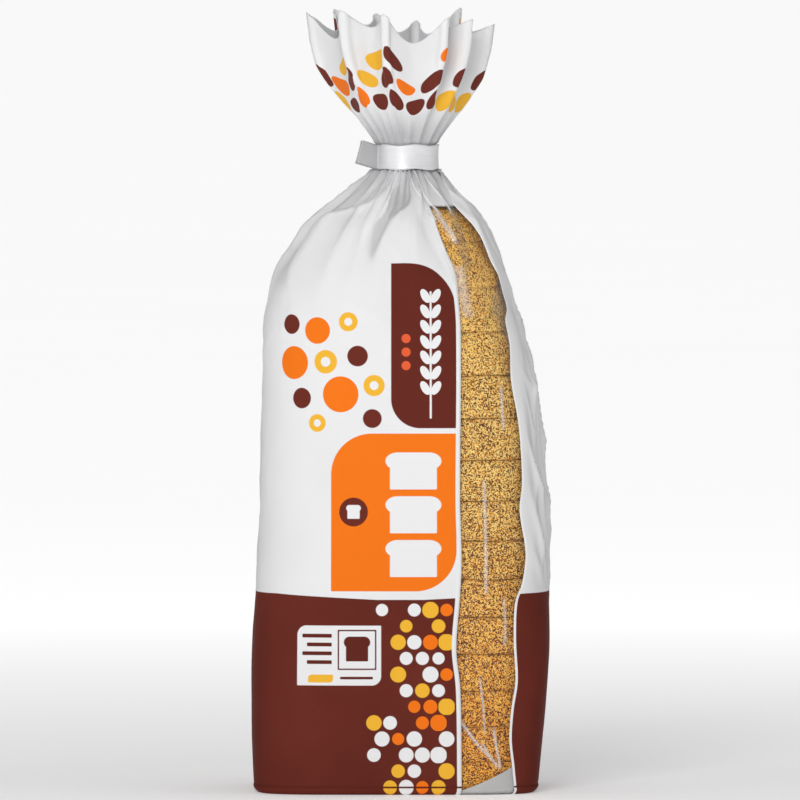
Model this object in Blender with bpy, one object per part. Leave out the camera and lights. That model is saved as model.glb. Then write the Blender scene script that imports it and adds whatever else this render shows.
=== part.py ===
"""Sliced loaf in a printed film bag that stands on its end.

The bag follows the loaf, draws in over its top end to a taped neck, and opens again above the tape
into a pleated frill. Metres, +Z up, the printed front faces -Y, and the origin is under the middle
of the base.
"""

import math

import bmesh
import bpy

MM = 0.001

# The filled bag, as (height, centre in X, half width, half depth, squareness), all but the last in mm.
# Squareness 2 is an ellipse and 5 is nearly a box.
BAG_STATIONS = (
    (0.0, -1.6, 48.6, 39.4, 5.0),
    (15.0, -1.2, 49.6, 40.2, 4.6),
    (31.0, -0.5, 50.4, 40.8, 4.2),
    (48.0, 0.0, 51.0, 41.0, 3.9),
    (69.0, 0.5, 50.4, 41.0, 3.7),
    (91.0, 0.9, 49.6, 40.6, 3.5),
    (113.0, 0.7, 48.6, 40.0, 3.3),
    (135.0, 0.0, 47.3, 39.0, 3.1),
    (156.0, -2.1, 44.6, 37.0, 2.9),
    (167.0, -3.6, 41.8, 35.0, 2.8),
    (178.0, -2.9, 39.2, 32.2, 2.6),
    (189.0, -1.7, 33.4, 27.6, 2.4),
    (195.0, -1.1, 29.6, 24.6, 2.3),
    (200.0, 0.2, 24.8, 21.0, 2.2),
    (205.5, 1.0, 18.2, 16.0, 2.1),
    (210.0, 1.6, 13.2, 11.8, 2.0),
    (212.0, 1.7, 10.3, 8.9, 2.0),
)
BASE_EDGE_RADIUS = 2.6
NECK_CENTRE_X = 1.7
NECK_HALF_WIDTH = 10.3
NECK_HALF_DEPTH = 8.9
NECK_BOTTOM = 212.0
NECK_TOP = 221.6

# Folds that the gathering presses into the film between the loaf's shoulders and the neck.
GATHER_PLEATS = 16
GATHER_DEPTH = 0.085
GATHER_START = 158.0
GATHER_FULL = 203.0
# How far the folds wander to either side, as (radians, waves round the bag, phase).
GATHER_WANDER = ((0.16, 2, 0.8), (0.07, 5, 2.1))
GATHER_UNEVENNESS = 0.2

# The frill, as (ridge angle in degrees, ridge peak, lowest point of the rim before the next ridge).
# Angles run from the front, positive towards +X. Heights are in mm.
FRILL_RIDGES = (
    (-165.0, 266.0, 262.0),
    (-135.0, 267.5, 260.0),
    (-90.0, 266.5, 257.5),
    (-40.0, 267.5, 261.5),
    (-10.0, 266.2, 256.0),
    (30.0, 265.0, 261.0),
    (50.0, 264.4, 259.0),
    (90.0, 262.5, 260.0),
    (140.0, 268.0, 259.0),
    (170.0, 263.6, 259.5),
)
# Radius of the frill's ridges, as (share of the way from neck to rim, mm).
FRILL_PROFILE = (
    (0.0, 10.3),
    (0.1, 13.4),
    (0.2, 17.0),
    (0.3, 20.8),
    (0.42, 24.2),
    (0.58, 28.0),
    (0.78, 30.6),
    (1.0, 31.8),
)
FRILL_VALLEY_DEPTH = 7.5
FRILL_VALLEY_ROUNDNESS = 0.85
FRILL_OPENED_BY = 0.75
FRILL_WALL = 1.2
FRILL_THROAT = 0.22
FRILL_FLOOR_HEIGHT = 227.6
FRILL_FLOOR_RADIUS = 3.5

# The closing tape, wound round the neck, its two ends pressed together into a tab at the left.
TAPE_BOTTOM = 212.6
TAPE_TOP = 221.0
TAPE_CLEARANCE = 0.45
TAPE_THICKNESS = 0.8
TAB_ROOT_DEG = -47.0
TAB_LENGTH = 8.6
TAB_THICKNESS = 1.3
TAB_TURN_DEG = 20.0

RING_POINTS = 72
FRILL_OUTER_RINGS = 9
FRILL_INNER_RINGS = 6
TAPE_POINTS = 64

FILM_COLOUR = (0.86, 0.86, 0.87, 1.0)
TAPE_COLOUR = (0.78, 0.79, 0.80, 1.0)


def clear_scene():
    """Removes every object, so that only the model's own objects are left."""
    for obj in list(bpy.data.objects):
        bpy.data.objects.remove(obj)


def smooth_step(low, high, value):
    """0 below low, 1 above high and a smooth rise between them."""
    share = min(1.0, max(0.0, (value - low) / (high - low)))
    return share * share * (3.0 - 2.0 * share)


def along(table, place):
    """The table's row at this place, on a cubic curve through its rows. The first column is the place."""
    last = len(table) - 1
    upper = 1
    while upper < last and table[upper][0] < place:
        upper += 1
    lower = upper - 1
    before, after = max(lower - 1, 0), min(upper + 1, last)
    span = table[upper][0] - table[lower][0]
    share = min(1.0, max(0.0, (place - table[lower][0]) / span))
    found = []
    for column in range(1, len(table[0])):
        start, end = table[lower][column], table[upper][column]
        slope_in = (end - table[before][column]) / (table[upper][0] - table[before][0]) * span
        slope_out = (table[after][column] - start) / (table[after][0] - table[lower][0]) * span
        found.append(
            start * (1 + 2 * share) * (1 - share) ** 2
            + slope_in * share * (1 - share) ** 2
            + end * (3 - 2 * share) * share**2
            - slope_out * (1 - share) * share**2
        )
    return found


def oval_radius(angle, half_width, half_depth, squareness):
    """Distance from the middle to a squared oval, at an angle from the front."""
    across = abs(math.sin(angle)) / half_width
    deep = abs(math.cos(angle)) / half_depth
    return (across**squareness + deep**squareness) ** (-1.0 / squareness)


def gather_fold(angle):
    """Height of the gathered folds at this angle: sharp ridges at 1, round valleys at -1, unevenly spaced."""
    warped = angle + sum(reach * math.sin(waves * angle + phase) for reach, waves, phase in GATHER_WANDER)
    strength = 1.0 - GATHER_UNEVENNESS + GATHER_UNEVENNESS * math.sin(3 * angle + 1.0)
    return strength * (1.0 - 2.0 * abs(math.sin(0.5 * GATHER_PLEATS * warped)))


def bag_point(angle, height):
    """Point in mm on the outside of the filled bag."""
    centre_x, half_width, half_depth, squareness = along(BAG_STATIONS, height)
    radius = oval_radius(angle, half_width, half_depth, squareness)
    rise = smooth_step(GATHER_START, GATHER_FULL, height)
    flatten = 1.0 - smooth_step(GATHER_FULL, NECK_BOTTOM, height)
    radius *= 1.0 + GATHER_DEPTH * rise * flatten * gather_fold(angle)
    if height < BASE_EDGE_RADIUS:
        drop = BASE_EDGE_RADIUS - height
        radius -= BASE_EDGE_RADIUS - math.sqrt(BASE_EDGE_RADIUS**2 - drop**2)
    return (centre_x + radius * math.sin(angle), -radius * math.cos(angle), height)


def frill_gap(angle_deg):
    """(ridge before, ridge after, share of the way between them) at an angle round the frill."""
    count = len(FRILL_RIDGES)
    for index, ridge in enumerate(FRILL_RIDGES):
        following = FRILL_RIDGES[(index + 1) % count]
        gap = (following[0] - ridge[0]) % 360.0
        offset = (angle_deg - ridge[0]) % 360.0
        if offset < gap:
            return ridge, following, offset / gap
    raise ValueError("the ridges leave a gap in the frill")


def frill_point(angle, share, inset):
    """Point in mm on the frill, share of the way up from the neck, inset mm inside its outer face."""
    ridge, following, between = frill_gap(math.degrees(angle))
    valley = math.sin(math.pi * between) ** FRILL_VALLEY_ROUNDNESS
    straight_rim = ridge[1] + (following[1] - ridge[1]) * between
    rim = straight_rim + (ridge[2] - 0.5 * (ridge[1] + following[1])) * valley
    (ridge_radius,) = along(FRILL_PROFILE, share)
    opened = smooth_step(0.0, FRILL_OPENED_BY, share)
    squash = 1.0 - (1.0 - opened) * (1.0 - NECK_HALF_DEPTH / NECK_HALF_WIDTH) * math.cos(angle) ** 2
    radius = ridge_radius * squash - FRILL_VALLEY_DEPTH * opened * valley - inset
    centre_x = NECK_CENTRE_X * (1.0 - opened)
    height = NECK_TOP + (rim - NECK_TOP) * share
    return (centre_x + radius * math.sin(angle), -radius * math.cos(angle), height)


def throat_floor_point(angle):
    """Point in mm on the small flat floor where the frill's inside closes above the tape."""
    across = FRILL_FLOOR_RADIUS * math.sin(angle)
    return (NECK_CENTRE_X + across, -FRILL_FLOOR_RADIUS * math.cos(angle), FRILL_FLOOR_HEIGHT)


def bag_heights():
    """Heights of the bag's rings, closer together at the base's edge and where the film draws in."""
    edge = [BASE_EDGE_RADIUS * step for step in (0.0, 0.12, 0.45, 1.0)]
    straight = [9.0, 20.0, 34.0, 48.0, 62.0, 76.0, 90.0, 104.0, 118.0, 131.0, 143.0, 153.0]
    shoulder = [161.0, 168.0, 174.0, 179.5, 184.5, 189.0, 193.0, 196.5, 200.0, 203.0, 205.8, 208.3]
    return edge + straight + shoulder + [210.4, NECK_BOTTOM, NECK_TOP]


def ring_angles(count):
    """Angles all the way round, starting at the back."""
    return [2.0 * math.pi * step / count - math.pi for step in range(count)]


def bag_rings():
    """Every ring of the bag: up the outside, over the frill's rim and down its inside to the throat."""
    angles = ring_angles(RING_POINTS)
    rings = [[bag_point(angle, height) for angle in angles] for height in bag_heights()]
    for step in range(1, FRILL_OUTER_RINGS + 1):
        share = step / FRILL_OUTER_RINGS
        rings.append([frill_point(angle, share, 0.0) for angle in angles])
    for step in range(FRILL_INNER_RINGS + 1):
        share = 1.0 - (1.0 - FRILL_THROAT) * step / FRILL_INNER_RINGS
        rings.append([frill_point(angle, share, FRILL_WALL) for angle in angles])
    rings.append([throat_floor_point(angle) for angle in angles])
    return rings


def loft(name, rings):
    """A closed mesh object through rings of equal length, in mm, with flat caps at both ends."""
    bm = bmesh.new()
    rows = [[bm.verts.new((x * MM, y * MM, z * MM)) for x, y, z in ring] for ring in rings]
    for below, above in zip(rows, rows[1:]):
        for index in range(len(below)):
            nearby = (index + 1) % len(below)
            bm.faces.new((below[index], below[nearby], above[nearby], above[index]))
    bm.faces.new(rows[0][::-1])
    bm.faces.new(rows[-1])
    bmesh.ops.recalc_face_normals(bm, faces=bm.faces)
    mesh = bpy.data.meshes.new(name)
    bm.to_mesh(mesh)
    bm.free()
    return bpy.data.objects.new(name, mesh)


def tape_outline():
    """Outer outline of the tape in plan, in mm: an oval round the neck with the tab standing off it."""
    half_width = NECK_HALF_WIDTH + TAPE_CLEARANCE + TAPE_THICKNESS
    half_depth = NECK_HALF_DEPTH + TAPE_CLEARANCE + TAPE_THICKNESS
    root = math.radians(TAB_ROOT_DEG)
    half_root = math.asin(0.5 * TAB_THICKNESS / half_depth)
    sweep = 2.0 * math.pi - 2.0 * half_root
    points = []
    for step in range(TAPE_POINTS + 1):
        angle = root + half_root + sweep * step / TAPE_POINTS
        radius = oval_radius(angle, half_width, half_depth, 2.0)
        points.append((NECK_CENTRE_X + radius * math.sin(angle), -radius * math.cos(angle)))
    lean = root - math.radians(TAB_TURN_DEG)
    reach = (TAB_LENGTH * math.sin(lean), -TAB_LENGTH * math.cos(lean))
    after_band, before_band = points[-1], points[0]
    points.append((after_band[0] + reach[0], after_band[1] + reach[1]))
    points.append((before_band[0] + reach[0], before_band[1] + reach[1]))
    return points


def add_flat_spline(curve, points):
    """Adds a closed outline, in mm, to a flat curve."""
    spline = curve.splines.new("POLY")
    spline.points.add(len(points) - 1)
    for target, (x, y) in zip(spline.points, points):
        target.co = (x * MM, y * MM, 0.0, 1.0)
    spline.use_cyclic_u = True


def make_tape():
    """The closing tape: its plan outline with the neck's hole, extruded to the tape's width."""
    curve = bpy.data.curves.new("closure_tape", "CURVE")
    curve.dimensions = "2D"
    curve.fill_mode = "BOTH"
    curve.extrude = 0.5 * (TAPE_TOP - TAPE_BOTTOM) * MM
    add_flat_spline(curve, tape_outline())
    half_width = NECK_HALF_WIDTH + TAPE_CLEARANCE
    half_depth = NECK_HALF_DEPTH + TAPE_CLEARANCE
    hole = []
    for angle in ring_angles(TAPE_POINTS):
        radius = oval_radius(angle, half_width, half_depth, 2.0)
        hole.append((NECK_CENTRE_X + radius * math.sin(angle), -radius * math.cos(angle)))
    add_flat_spline(curve, hole)
    tape = bpy.data.objects.new("closure_tape", curve)
    tape.location.z = 0.5 * (TAPE_TOP + TAPE_BOTTOM) * MM
    return tape


def make_material(name, colour, roughness):
    """A plain Principled material."""
    material = bpy.data.materials.new(name)
    material.use_nodes = True
    shader = material.node_tree.nodes["Principled BSDF"]
    shader.inputs["Base Color"].default_value = colour
    shader.inputs["Roughness"].default_value = roughness
    shader.inputs["Metallic"].default_value = 0.0
    return material


def main():
    clear_scene()
    pack = bpy.data.collections.new("loaf_in_bread_bag")
    bpy.context.scene.collection.children.link(pack)

    bag = loft("bread_bag", bag_rings())
    bag.data.materials.append(make_material("printed_film", FILM_COLOUR, 0.35))
    bag.data.shade_smooth()
    pack.objects.link(bag)

    tape = make_tape()
    tape.data.materials.append(make_material("closing_tape", TAPE_COLOUR, 0.3))
    pack.objects.link(tape)


main()
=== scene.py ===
"""Dresses the packed model of a sliced loaf in a printed film bag and sets up its studio view.

The file is laid out as a Blender add-on. One operator makes each piece: the printed film, the clear window,
the frill, the closing tape, the sliced loaf and the folds at the foot. Another one sets the stage.
Lengths here are in millimetres until a mesh is written. The front faces -Y. A place on the film is its
distance round the bag from the front's middle, positive towards +X, and its height.
"""

import math

import bmesh
import bpy
import numpy as np
from bpy.props import FloatProperty, FloatVectorProperty, IntProperty, PointerProperty
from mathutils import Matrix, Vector, noise


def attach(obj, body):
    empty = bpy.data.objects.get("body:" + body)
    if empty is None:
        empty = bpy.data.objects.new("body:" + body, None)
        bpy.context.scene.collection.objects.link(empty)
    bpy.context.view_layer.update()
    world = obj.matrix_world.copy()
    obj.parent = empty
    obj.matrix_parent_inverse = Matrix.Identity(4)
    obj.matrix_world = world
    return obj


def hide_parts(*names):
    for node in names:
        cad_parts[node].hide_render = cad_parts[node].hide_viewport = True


bl_info = {
    "name": "Loaf in a bread bag",
    "version": (1, 0, 0),
    "blender": (4, 5, 0),
    "location": "3D View > Sidebar > Bread bag",
    "description": "Makes the film, window, frill, tape, sliced loaf and studio of a bread bag",
    "category": "Object",
}

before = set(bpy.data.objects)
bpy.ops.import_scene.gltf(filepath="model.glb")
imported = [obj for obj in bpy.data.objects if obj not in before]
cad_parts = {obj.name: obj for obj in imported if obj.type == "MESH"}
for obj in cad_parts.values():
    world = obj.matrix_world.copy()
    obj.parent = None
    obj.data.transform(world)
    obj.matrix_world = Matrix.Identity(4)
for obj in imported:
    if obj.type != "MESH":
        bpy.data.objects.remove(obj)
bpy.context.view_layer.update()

MM = 0.001

# The filled bag, as (height, centre in X, half width, half depth, squareness), as in the model.
BAG_STATIONS = (
    (0, -1.6, 48.6, 39.4, 5.0),
    (15, -1.2, 49.6, 40.2, 4.6),
    (31, -0.5, 50.4, 40.8, 4.2),
    (48, 0.0, 51.0, 41.0, 3.9),
    (69, 0.5, 50.4, 41.0, 3.7),
    (91, 0.9, 49.6, 40.6, 3.5),
    (113, 0.7, 48.6, 40.0, 3.3),
    (135, 0.0, 47.3, 39.0, 3.1),
    (156, -2.1, 44.6, 37.0, 2.9),
    (167, -3.6, 41.8, 35.0, 2.8),
    (178, -2.9, 39.2, 32.2, 2.6),
    (189, -1.7, 33.4, 27.6, 2.4),
    (195, -1.1, 29.6, 24.6, 2.3),
    (200, 0.2, 24.8, 21.0, 2.2),
    (205.5, 1.0, 18.2, 16.0, 2.1),
    (210, 1.6, 13.2, 11.8, 2.0),
    (212, 1.7, 10.3, 8.9, 2.0),
)
BASE_EDGE_RADIUS = 2.6
NECK_CENTRE_X = 1.7
NECK_HALF_WIDTH = 10.3
NECK_HALF_DEPTH = 8.9
NECK_BOTTOM = 212.0
NECK_TOP = 221.6

# Folds gathered all round the shoulders, as in the model, but calmer over the front. Waves are (reach,
# number round the bag, phase).
GATHER_PLEATS = 16
GATHER_DEPTH = 0.085
GATHER_START = 158.0
GATHER_FULL = 203.0
GATHER_WAVES = ((0.16, 2, 0.8), (0.07, 5, 2.1))
GATHER_UNEVENNESS = 0.2
CALM_SHARE = 0.7
CALM_REACH = 0.95
CALM_UNTIL = (194.0, 206.0)

# A gathered place is what a place would be if the film reached this far from the front to the back.
HALF_FILM = 158.0
FRONT_SPAN = 1.4
RING_STEPS = 720

# The clear window's two edges, as (height, place).
WINDOW_LEFT = (
    (0, 20.9), (36, 20.4), (50, 19), (67, 20.2), (80, 20.8), (101, 20.3), (158, 20.7), (168, 20.2),
    (178.5, 19), (187, 15.4), (195.3, 12.4), (200, 10.6), (205, 6.6), (212, 2.8),
)
WINDOW_RIGHT = (
    (0, 39.6), (10, 38.4), (19, 37.3), (29, 38), (39, 39.6), (53, 39), (66, 39.7), (72, 42.4), (82, 44),
    (97, 41.6), (106, 42.9), (124, 42.2), (141, 39.6), (153, 40.4), (161.5, 39.8), (166, 42.9),
    (171.5, 40.4), (181, 34.4), (190, 30), (197, 24.2), (201, 20.6), (206, 18), (212, 14.4),
)

# Folds that the gathering draws from the neck down over the shoulders, as (depth, widths before and after
# the crest, its route of (height, gathered place) points). A valley has a negative depth.
SHOULDER_FOLDS = (
    (1.2, 4.4, 9.0, ((176, -53), (188.2, -58), (196.3, -54.2), (200.2, -30), (203.6, -17), (212, -6))),
    (-1.5, 8.0, 9.0, ((176, -70), (190, -72), (200, -66), (212, -50))),
    (1.1, 5.0, 4.2, ((180, -17), (190.3, -19), (197, -17.5), (202.6, -14), (206.9, -8), (212, 5.5))),
    (-1.9, 4.2, 1.7, ((178, -14.6), (187, -14.2), (193.6, -10), (197, -6.5), (201.9, 4), (212, 9.5))),
    (-1.1, 8.0, 6.0, ((172, 24), (181, 21), (194.6, 14), (202, 10), (212, 14))),
    (-0.9, 5.0, 6.0, ((184, -34), (193, -36), (201, -33), (212, -12))),
    (-1.5, 5.0, 8.0, ((166, 86), (180, 82), (196, 74), (212, 62))),
    (1.2, 4.0, 3.0, ((172, 64), (184, 62), (196, 58), (212, 50))),
    (1.6, 3.0, 7.0, ((170, 112), (186, 108), (200, 104), (212, 100))),
    (-1.4, 6.0, 3.0, ((174, 136), (190, 134), (212, 128))),
    (1.5, 3.0, 8.0, ((170, -96), (184, -94), (200, -88), (212, -80))),
    (-1.5, 7.0, 3.0, ((172, -118), (190, -114), (212, -104))),
    (1.3, 4.0, 6.0, ((168, -140), (188, -138), (212, -130))),
)
FOLD_FADE = 13.0
FOLD_SHARPNESS = 1.25
FOLD_SHALLOWING = 1.7
FOLD_LEAST_WIDTH = 0.45

# Patches of painted shade on the film over the shoulders, standing for the shade of its folds and of film
# that stands off the loaf, as (how dark, how softly it begins at the left and ends at the right, then its
# (height, left edge, right edge) rows in gathered places).
PAINTED_SHADE_PATCHES = (
    (0.5, 1.5, 3.4, (
        (182, -15.4, -13.6), (187, -16.4, -12), (193.6, -16.2, -7.6), (197, -12.4, -3.8), (200.3, -9.3, 5),
        (202.6, -8.8, 9.8), (205.2, -6.1, 11.2), (208.5, 2.2, 12.4), (212, 11, 13),
    )),
    (0.2, 34.0, 1.2, (
        (195.4, -80, -58), (196.3, -80, -54.2), (197.8, -78, -43.3), (200.2, -74, -29.3),
        (202.6, -66, -19), (205.2, -56, -14.9), (208.5, -50, -9.8), (212, -46, 0),
    )),
    (0.5, 34.0, 1.2, ((202.6, -34, -19), (205.2, -32, -14.9), (208.5, -26, -9.8), (212, -20, 0))),
    (0.12, 8.0, 1.2, ((172, -78, -52), (188, -80, -57.9), (195.4, -80, -57))),
    (0.3, 2.0, 6.0, ((176, 60, 66), (190, 54, 64), (200, 48, 62), (212, 44, 60))),
)
# Painted shade: darker towards the neck, in the drawn folds' valleys and on crumpled facets that fall away to
# the right within this range of slopes; the folds' crests are painted lighter.
NECK_PAINTED_SHADE = 0.42
SIDE_PAINTED_SHADE = 0.5
SIDE_SHADE_SLOPE = (-0.1, 0.55)
VALLEY_PAINTED_SHADE = 0.2
CREST_PAINTED_LIGHT = 0.85

# Creases that stand out of the clear window, as (rise, half width, how white their painted glint is, its
# (height, place) points).
WINDOW_CREASES = (
    (0.34, 0.42, 0.5, ((9.5, 33.9), (16.3, 27.2), (24.5, 21))),
    (0.28, 0.36, 0.45, ((10, 32.6), (13.5, 30.5), (17.6, 28))),
    (0.30, 0.38, 0.45, ((9.5, 34.2), (15.3, 33), (22.4, 31.8))),
    (0.26, 0.34, 0.3, ((21.4, 28.7), (31, 28.1), (40, 27))),
    (0.24, 0.5, 0.28, ((69, 29.2), (91, 29), (107, 28.6))),
    (0.22, 0.5, 0.22, ((51, 35.7), (58, 35.9), (67, 35.5))),
    (0.22, 0.5, 0.28, ((125, 35.9), (131, 35.4), (139, 35.3))),
    (0.26, 1.9, 0.2, ((163, 23.6), (171, 21.8), (180, 20.4))),
    (0.30, 0.9, 0.3, ((188, 19.2), (193, 16.2), (199, 12.4))),
)
WINDOW_CREASE_FADE = 1.5
# Creases of the clear film above the loaf, in gathered places, with the same painted glints.
NECK_CREASES = (
    (0.45, 0.9, 1.0, ((196, 23), (201.3, 18.8), (205.2, 15.2), (212, 14))),
    (0.45, 0.8, 1.0, ((198, 27.5), (204.5, 23), (212, 22.5))),
    (0.45, 0.8, 1.0, ((198, 36.5), (205.1, 35.8), (212, 37))),
)
NECK_CREASE_FADE = 2.0

# Fine pleats under the tape, as (rise, heights from and to which it grows).
NECK_PLEATS = 28
NECK_WAVES = ((2.0, 3, 0.0),)
NECK_PLEAT_RISES = ((0.42, 186, 208), (0.4, 200, 210))

# Where the film is crumpled beside the window, and the noise that crumples, dents and bumps surfaces, as
# (height, size of its features, shift).
CRUMPLED_RIGHT = ((43, 56), (96, 118))
CRUMPLED_LEFT = ((-122, -100), (-76, -60))
CRUMPLED_HEIGHTS = ((62, 84), (168, 186))
CRUMPLED_LEFT_SHARE = 0.45
CRUMPLES = ((2.3, 16, 3.1), (1.2, 8.5, 8.4))
CRUMPLE_SINK = 1.9
CRUMPLE_LEAN = 0.3
DENTS = ((0.55, 34, 5.7), (0.16, 12, 1.3))
WRINKLE_SIZE = 19.0
WRINKLE_RISE = 0.14
WRINKLE_UPPER_RISE = 0.34
WRINKLE_GROWTH = (120.0, 190.0)
CRUMPLE_STRETCH = 0.3
DENT_STRETCH = 0.42
WRINKLE_STRETCH = 0.7
CRUST_BUMPS = ((0.34, 3.2, 2.7), (0.5, 11, 7.7))
CRUST_SINK = 0.35

# The weld at the foot, the lap down the back and the roll of film under the tape.
FOOT_STRIP = 2.4
FOOT_CLEARANCE = 0.02
FOOT_ROWS = (0.0, 0.35, 0.9, 1.5, 1.9, 2.2, 2.45, 2.7, 3.0, 3.6)
EVEN_ROWS_FROM = 4.4
WELD_RISE = 0.28
WELD_LINE = FOOT_STRIP + 0.25
WELD_LINE_DEPTH = 0.35
LAP_HALF_WIDTH = 4.5
LAP_RISE = 0.35
ROLL_HEIGHT = 211.2
ROLL_RISE = 0.75
ROLL_WIDTH = 0.7
# Lengths of film from the window to the back, and spacings of its columns there.
RIGHT_COLUMNS = (118.0, 0.95, 1.5)
LEFT_COLUMNS = (178.0, 2.8, 0.95)
WINDOW_INSET = 0.12
WINDOW_RELIEF_SHARE = 0.55

# The frill, as (a ridge's angle in degrees, its peak, lowest point of the rim before the next ridge).
FRILL_RIDGES = (
    (-165, 266, 262),
    (-135, 267.5, 260),
    (-90, 266.5, 257.5),
    (-40, 267.5, 261.5),
    (-10, 266.2, 256),
    (30, 265, 261),
    (50, 264.4, 259),
    (90, 262.5, 260),
    (140, 268, 259),
    (170, 263.6, 259.5),
)
# Radius of the frill's ridges, as (share of the way up, radius).
FRILL_PROFILE = (
    (0, 10.3), (0.1, 13.4), (0.2, 17), (0.3, 20.8), (0.42, 24.2), (0.58, 28), (0.78, 30.6), (1, 31.8),
)
FRILL_VALLEY_DEPTH = 7.5
FRILL_VALLEY_ROUNDNESS = 0.85
FRILL_OPENED_BY = 0.75
FRILL_HEIGHT = 46.0
FRILL_BOTTOM = NECK_BOTTOM + 0.9
FRILL_COLUMNS = 360
FRILL_ROWS = 58
FRILL_NECK_ROWS = 9
FRILL_PLEATS = 21
FRILL_PLEAT_RISE = 0.5
FRILL_WAVES = ((1.6, 2, 0.4), (1.1, 3, 2.0))
FRILL_RIDGE_RISE = 0.8
# Bumps of the frill, as (share of the way up where they begin, height, size of features, shift).
FRILL_BUMPS = ((0.1, 0.5, 9, 4.4), (0.2, 0.16, 3.4, 1.9))
# Painted shade on the frill, darkest at the neck and fading upwards, and in its valleys.
FRILL_PAINTED_SHADE = 0.62
FRILL_VALLEY_PAINTED_SHADE = 0.16
THROAT_COLUMNS = 240
THROAT_ROWS = 16
THROAT_PLEATS = 26
THROAT_DEPTH = 2.6
THROAT_PLEAT_RISE = 2.6

# The closing tape. Its tab leaves the band a little further round than in the model, and ends at the
# same place.
TAPE_BOTTOM = 212.6
TAPE_TOP = 221.0
TAPE_OFF_NECK = 1.05
TAPE_SPACING = 0.45
TAPE_ROUND = 62.0
TAPE_ROWS = 13
TAPE_WAVE = 0.28
TAPE_BOW = 0.22
TAPE_DENTS = (0.22, 4.2, 6.1)
TAB_ROOT_DEG = -62.0
TAB_LENGTH = 8.3
TAB_TURN_DEG = -13.5
TAB_FLAT = 0.2
TAB_HALF_GAP = 0.42
TAB_NARROWING = 0.08

# The loaf.
SPECKLE_SEED = 7
LOAF_BOTTOM = 1.2
LOAF_TOP = 200.6
LOAF_COLUMNS = 220
LOAF_WINDOW_PLACE = 30.0
LOAF_CROWDING = 0.62
LOAF_INSET = 1.25
LOAF_UPPER_INSET = 1.2
LOAF_INSET_RISE = (165.0, 196.0)
CROWN_SLICE = 8.0
DRUM_RINGS = (0.03, 0.32, 0.34)
TIGHT_CUTS_ABOVE = 143.0
TIGHT_SHARE = 0.35
FILM_CLEARANCE = 0.75
SLICE_SHIFT = 0.2

# The corner of the foot's fold that shows in the window, and the underside, its flaps as (width, depth,
# place across, level).
GUSSET_COLUMNS = 26
GUSSET_ROWS = 10
GUSSET_LEFT = 19.6
GUSSET_WIDTH = 21.6
GUSSET_BOTTOM = 0.5
GUSSET_LOW_TOP = 1.2
GUSSET_RISE = 9.4
GUSSET_INSET = 0.75
FOOT_LEVEL = 0.45
FOOT_RINGS = (0.04, 0.2, 0.3)
FOOT_FLAPS = ((22, 52, -34, 0.30), (22, 52, 31, 0.30), (84, 13, -1.6, 0.14))
FLAP_THICKNESS = 0.12

# Print, in mm on the film. A tile is (left, right, bottom, top), and the radius of two corners where it has
# one. A dot is (place, height, radius), a mark (place, height, width).
# Colour of the painted shade on the film, and how much of it covers the gusset's fold inside the foot.
PAINTED_SHADE_COLOUR = (0.3, 0.3, 0.31)
GUSSET_PAINTED_SHADE = 0.45
PRINT_BLUR = 0.22
DEEP_BROWN = 0.82
PANEL_BROWN = 0.88
FILM_MOTTLE = 0.955
CORNER = 0.3
BASE_TOP = 66.7
BASE_RISE = (8.0, 44.0, 0.0, 1.9)
BASE_DOTS = (5.5, 2.85)
BASE_DOT_SHIFT = 0.8
BASE_DOTS_THINNING = (-14.0, 4.0, 0.0, 0.93)
BASE_DOTS_SPAN = (-11.0, 17.5)
BASE_DOTS_TOP = 64.5
BASE_DOTS_HOLE = (-40.0, -2.6, 34.0, 61.0)
BASE_PLAIN_SHARE = 0.42
ORANGE_ABOVE = 0.72
UPPER_PANEL = ((-30.0, 19.1, 60.0, 181.0, 16.0), (-3.2, 30.0, 125.1, 240.0, 10.0))
UPPER_EAR = (10.3, 131.0, 8, 5.2)
BEADS = tuple((1.9, 146.4 + 4.6 * step, 1.55) for step in range(3))
ORANGE_PANEL = (-23.7, 19.1, 69.6, 123.3, 14.0)
STACK_BOTTOM = 74.2
STACK_PITCH = 14.9
STACK_SPAN = (-12.0, 19.0, 73.0, 118.9)
STACK_WIDENING = 1.42
STACK_SLICE = (4.4 / STACK_WIDENING, 8.6, 13.4)
ROUNDEL = (-16.0, 96.6, 4.9)
ROUNDEL_SLICE = (-16.0, 97.4, 5.0)
LABEL = (-35.4, -6.6, 37.5, 57.9, 3.2)
LABEL_FRAME = ((-21.4, -8.2, 42.8, 56.5), (-20.9, -8.7, 43.3, 56.0))
LABEL_SLICE = (-14.8, 51.3, 9.0)
LABEL_BARS = tuple(
    (-33.6 + 1.6 * (step % 2), -23.4, 53.8 - 3.0 * step, 55.1 - 3.0 * step)
    for step in range(4)
)
LABEL_FOOT_BAR = (-20.6, -9.4, 39.6, 40.5)
LABEL_PILL = (-31.6, -23.0, 38.5, 41.2, 1.3)
BROWN_SPOTS = ((-38.6, 160.2, 3.3), (-14.6, 149.6, 3.5), (-34.4, 135.2, 3.5), (-9.6, 128.4, 3.2))
ORANGE_SPOTS = ((-28.6, 158.2, 4.5), (-37.6, 147.2, 5.6), (-20.4, 136.6, 6.1))
YELLOW_SPOTS = ((-17.8, 161.2, 3.2), (-25.6, 147.6, 4.0), (-9.0, 139.6, 3.6), (-28.6, 126.8, 3.0))
SPOT_HOLE = 0.42
LEFT_BORDER = (-0.75, 0.8)
RIGHT_BORDER = (0.3, 0.6)
GRAIN_LEAN = math.radians(30.0)
GRAIN_OFFSET = 0.36
GRAIN_LENGTH = 0.49
GRAIN_WIDTH = 0.26
STALK_HALF = 0.35
BACK_PANEL = (-46.0, -18.0, 84.0, 136.0, 9.0)
BACK_EAR = (-32.0, 92.0, 7, 4.8)
BACK_FRAME = ((14.0, 52.0, 86.0, 134.0), (14.5, 51.5, 86.5, 133.5))
BACK_LINES = (17.0, 49.0, 89.0, 131.0)
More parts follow.
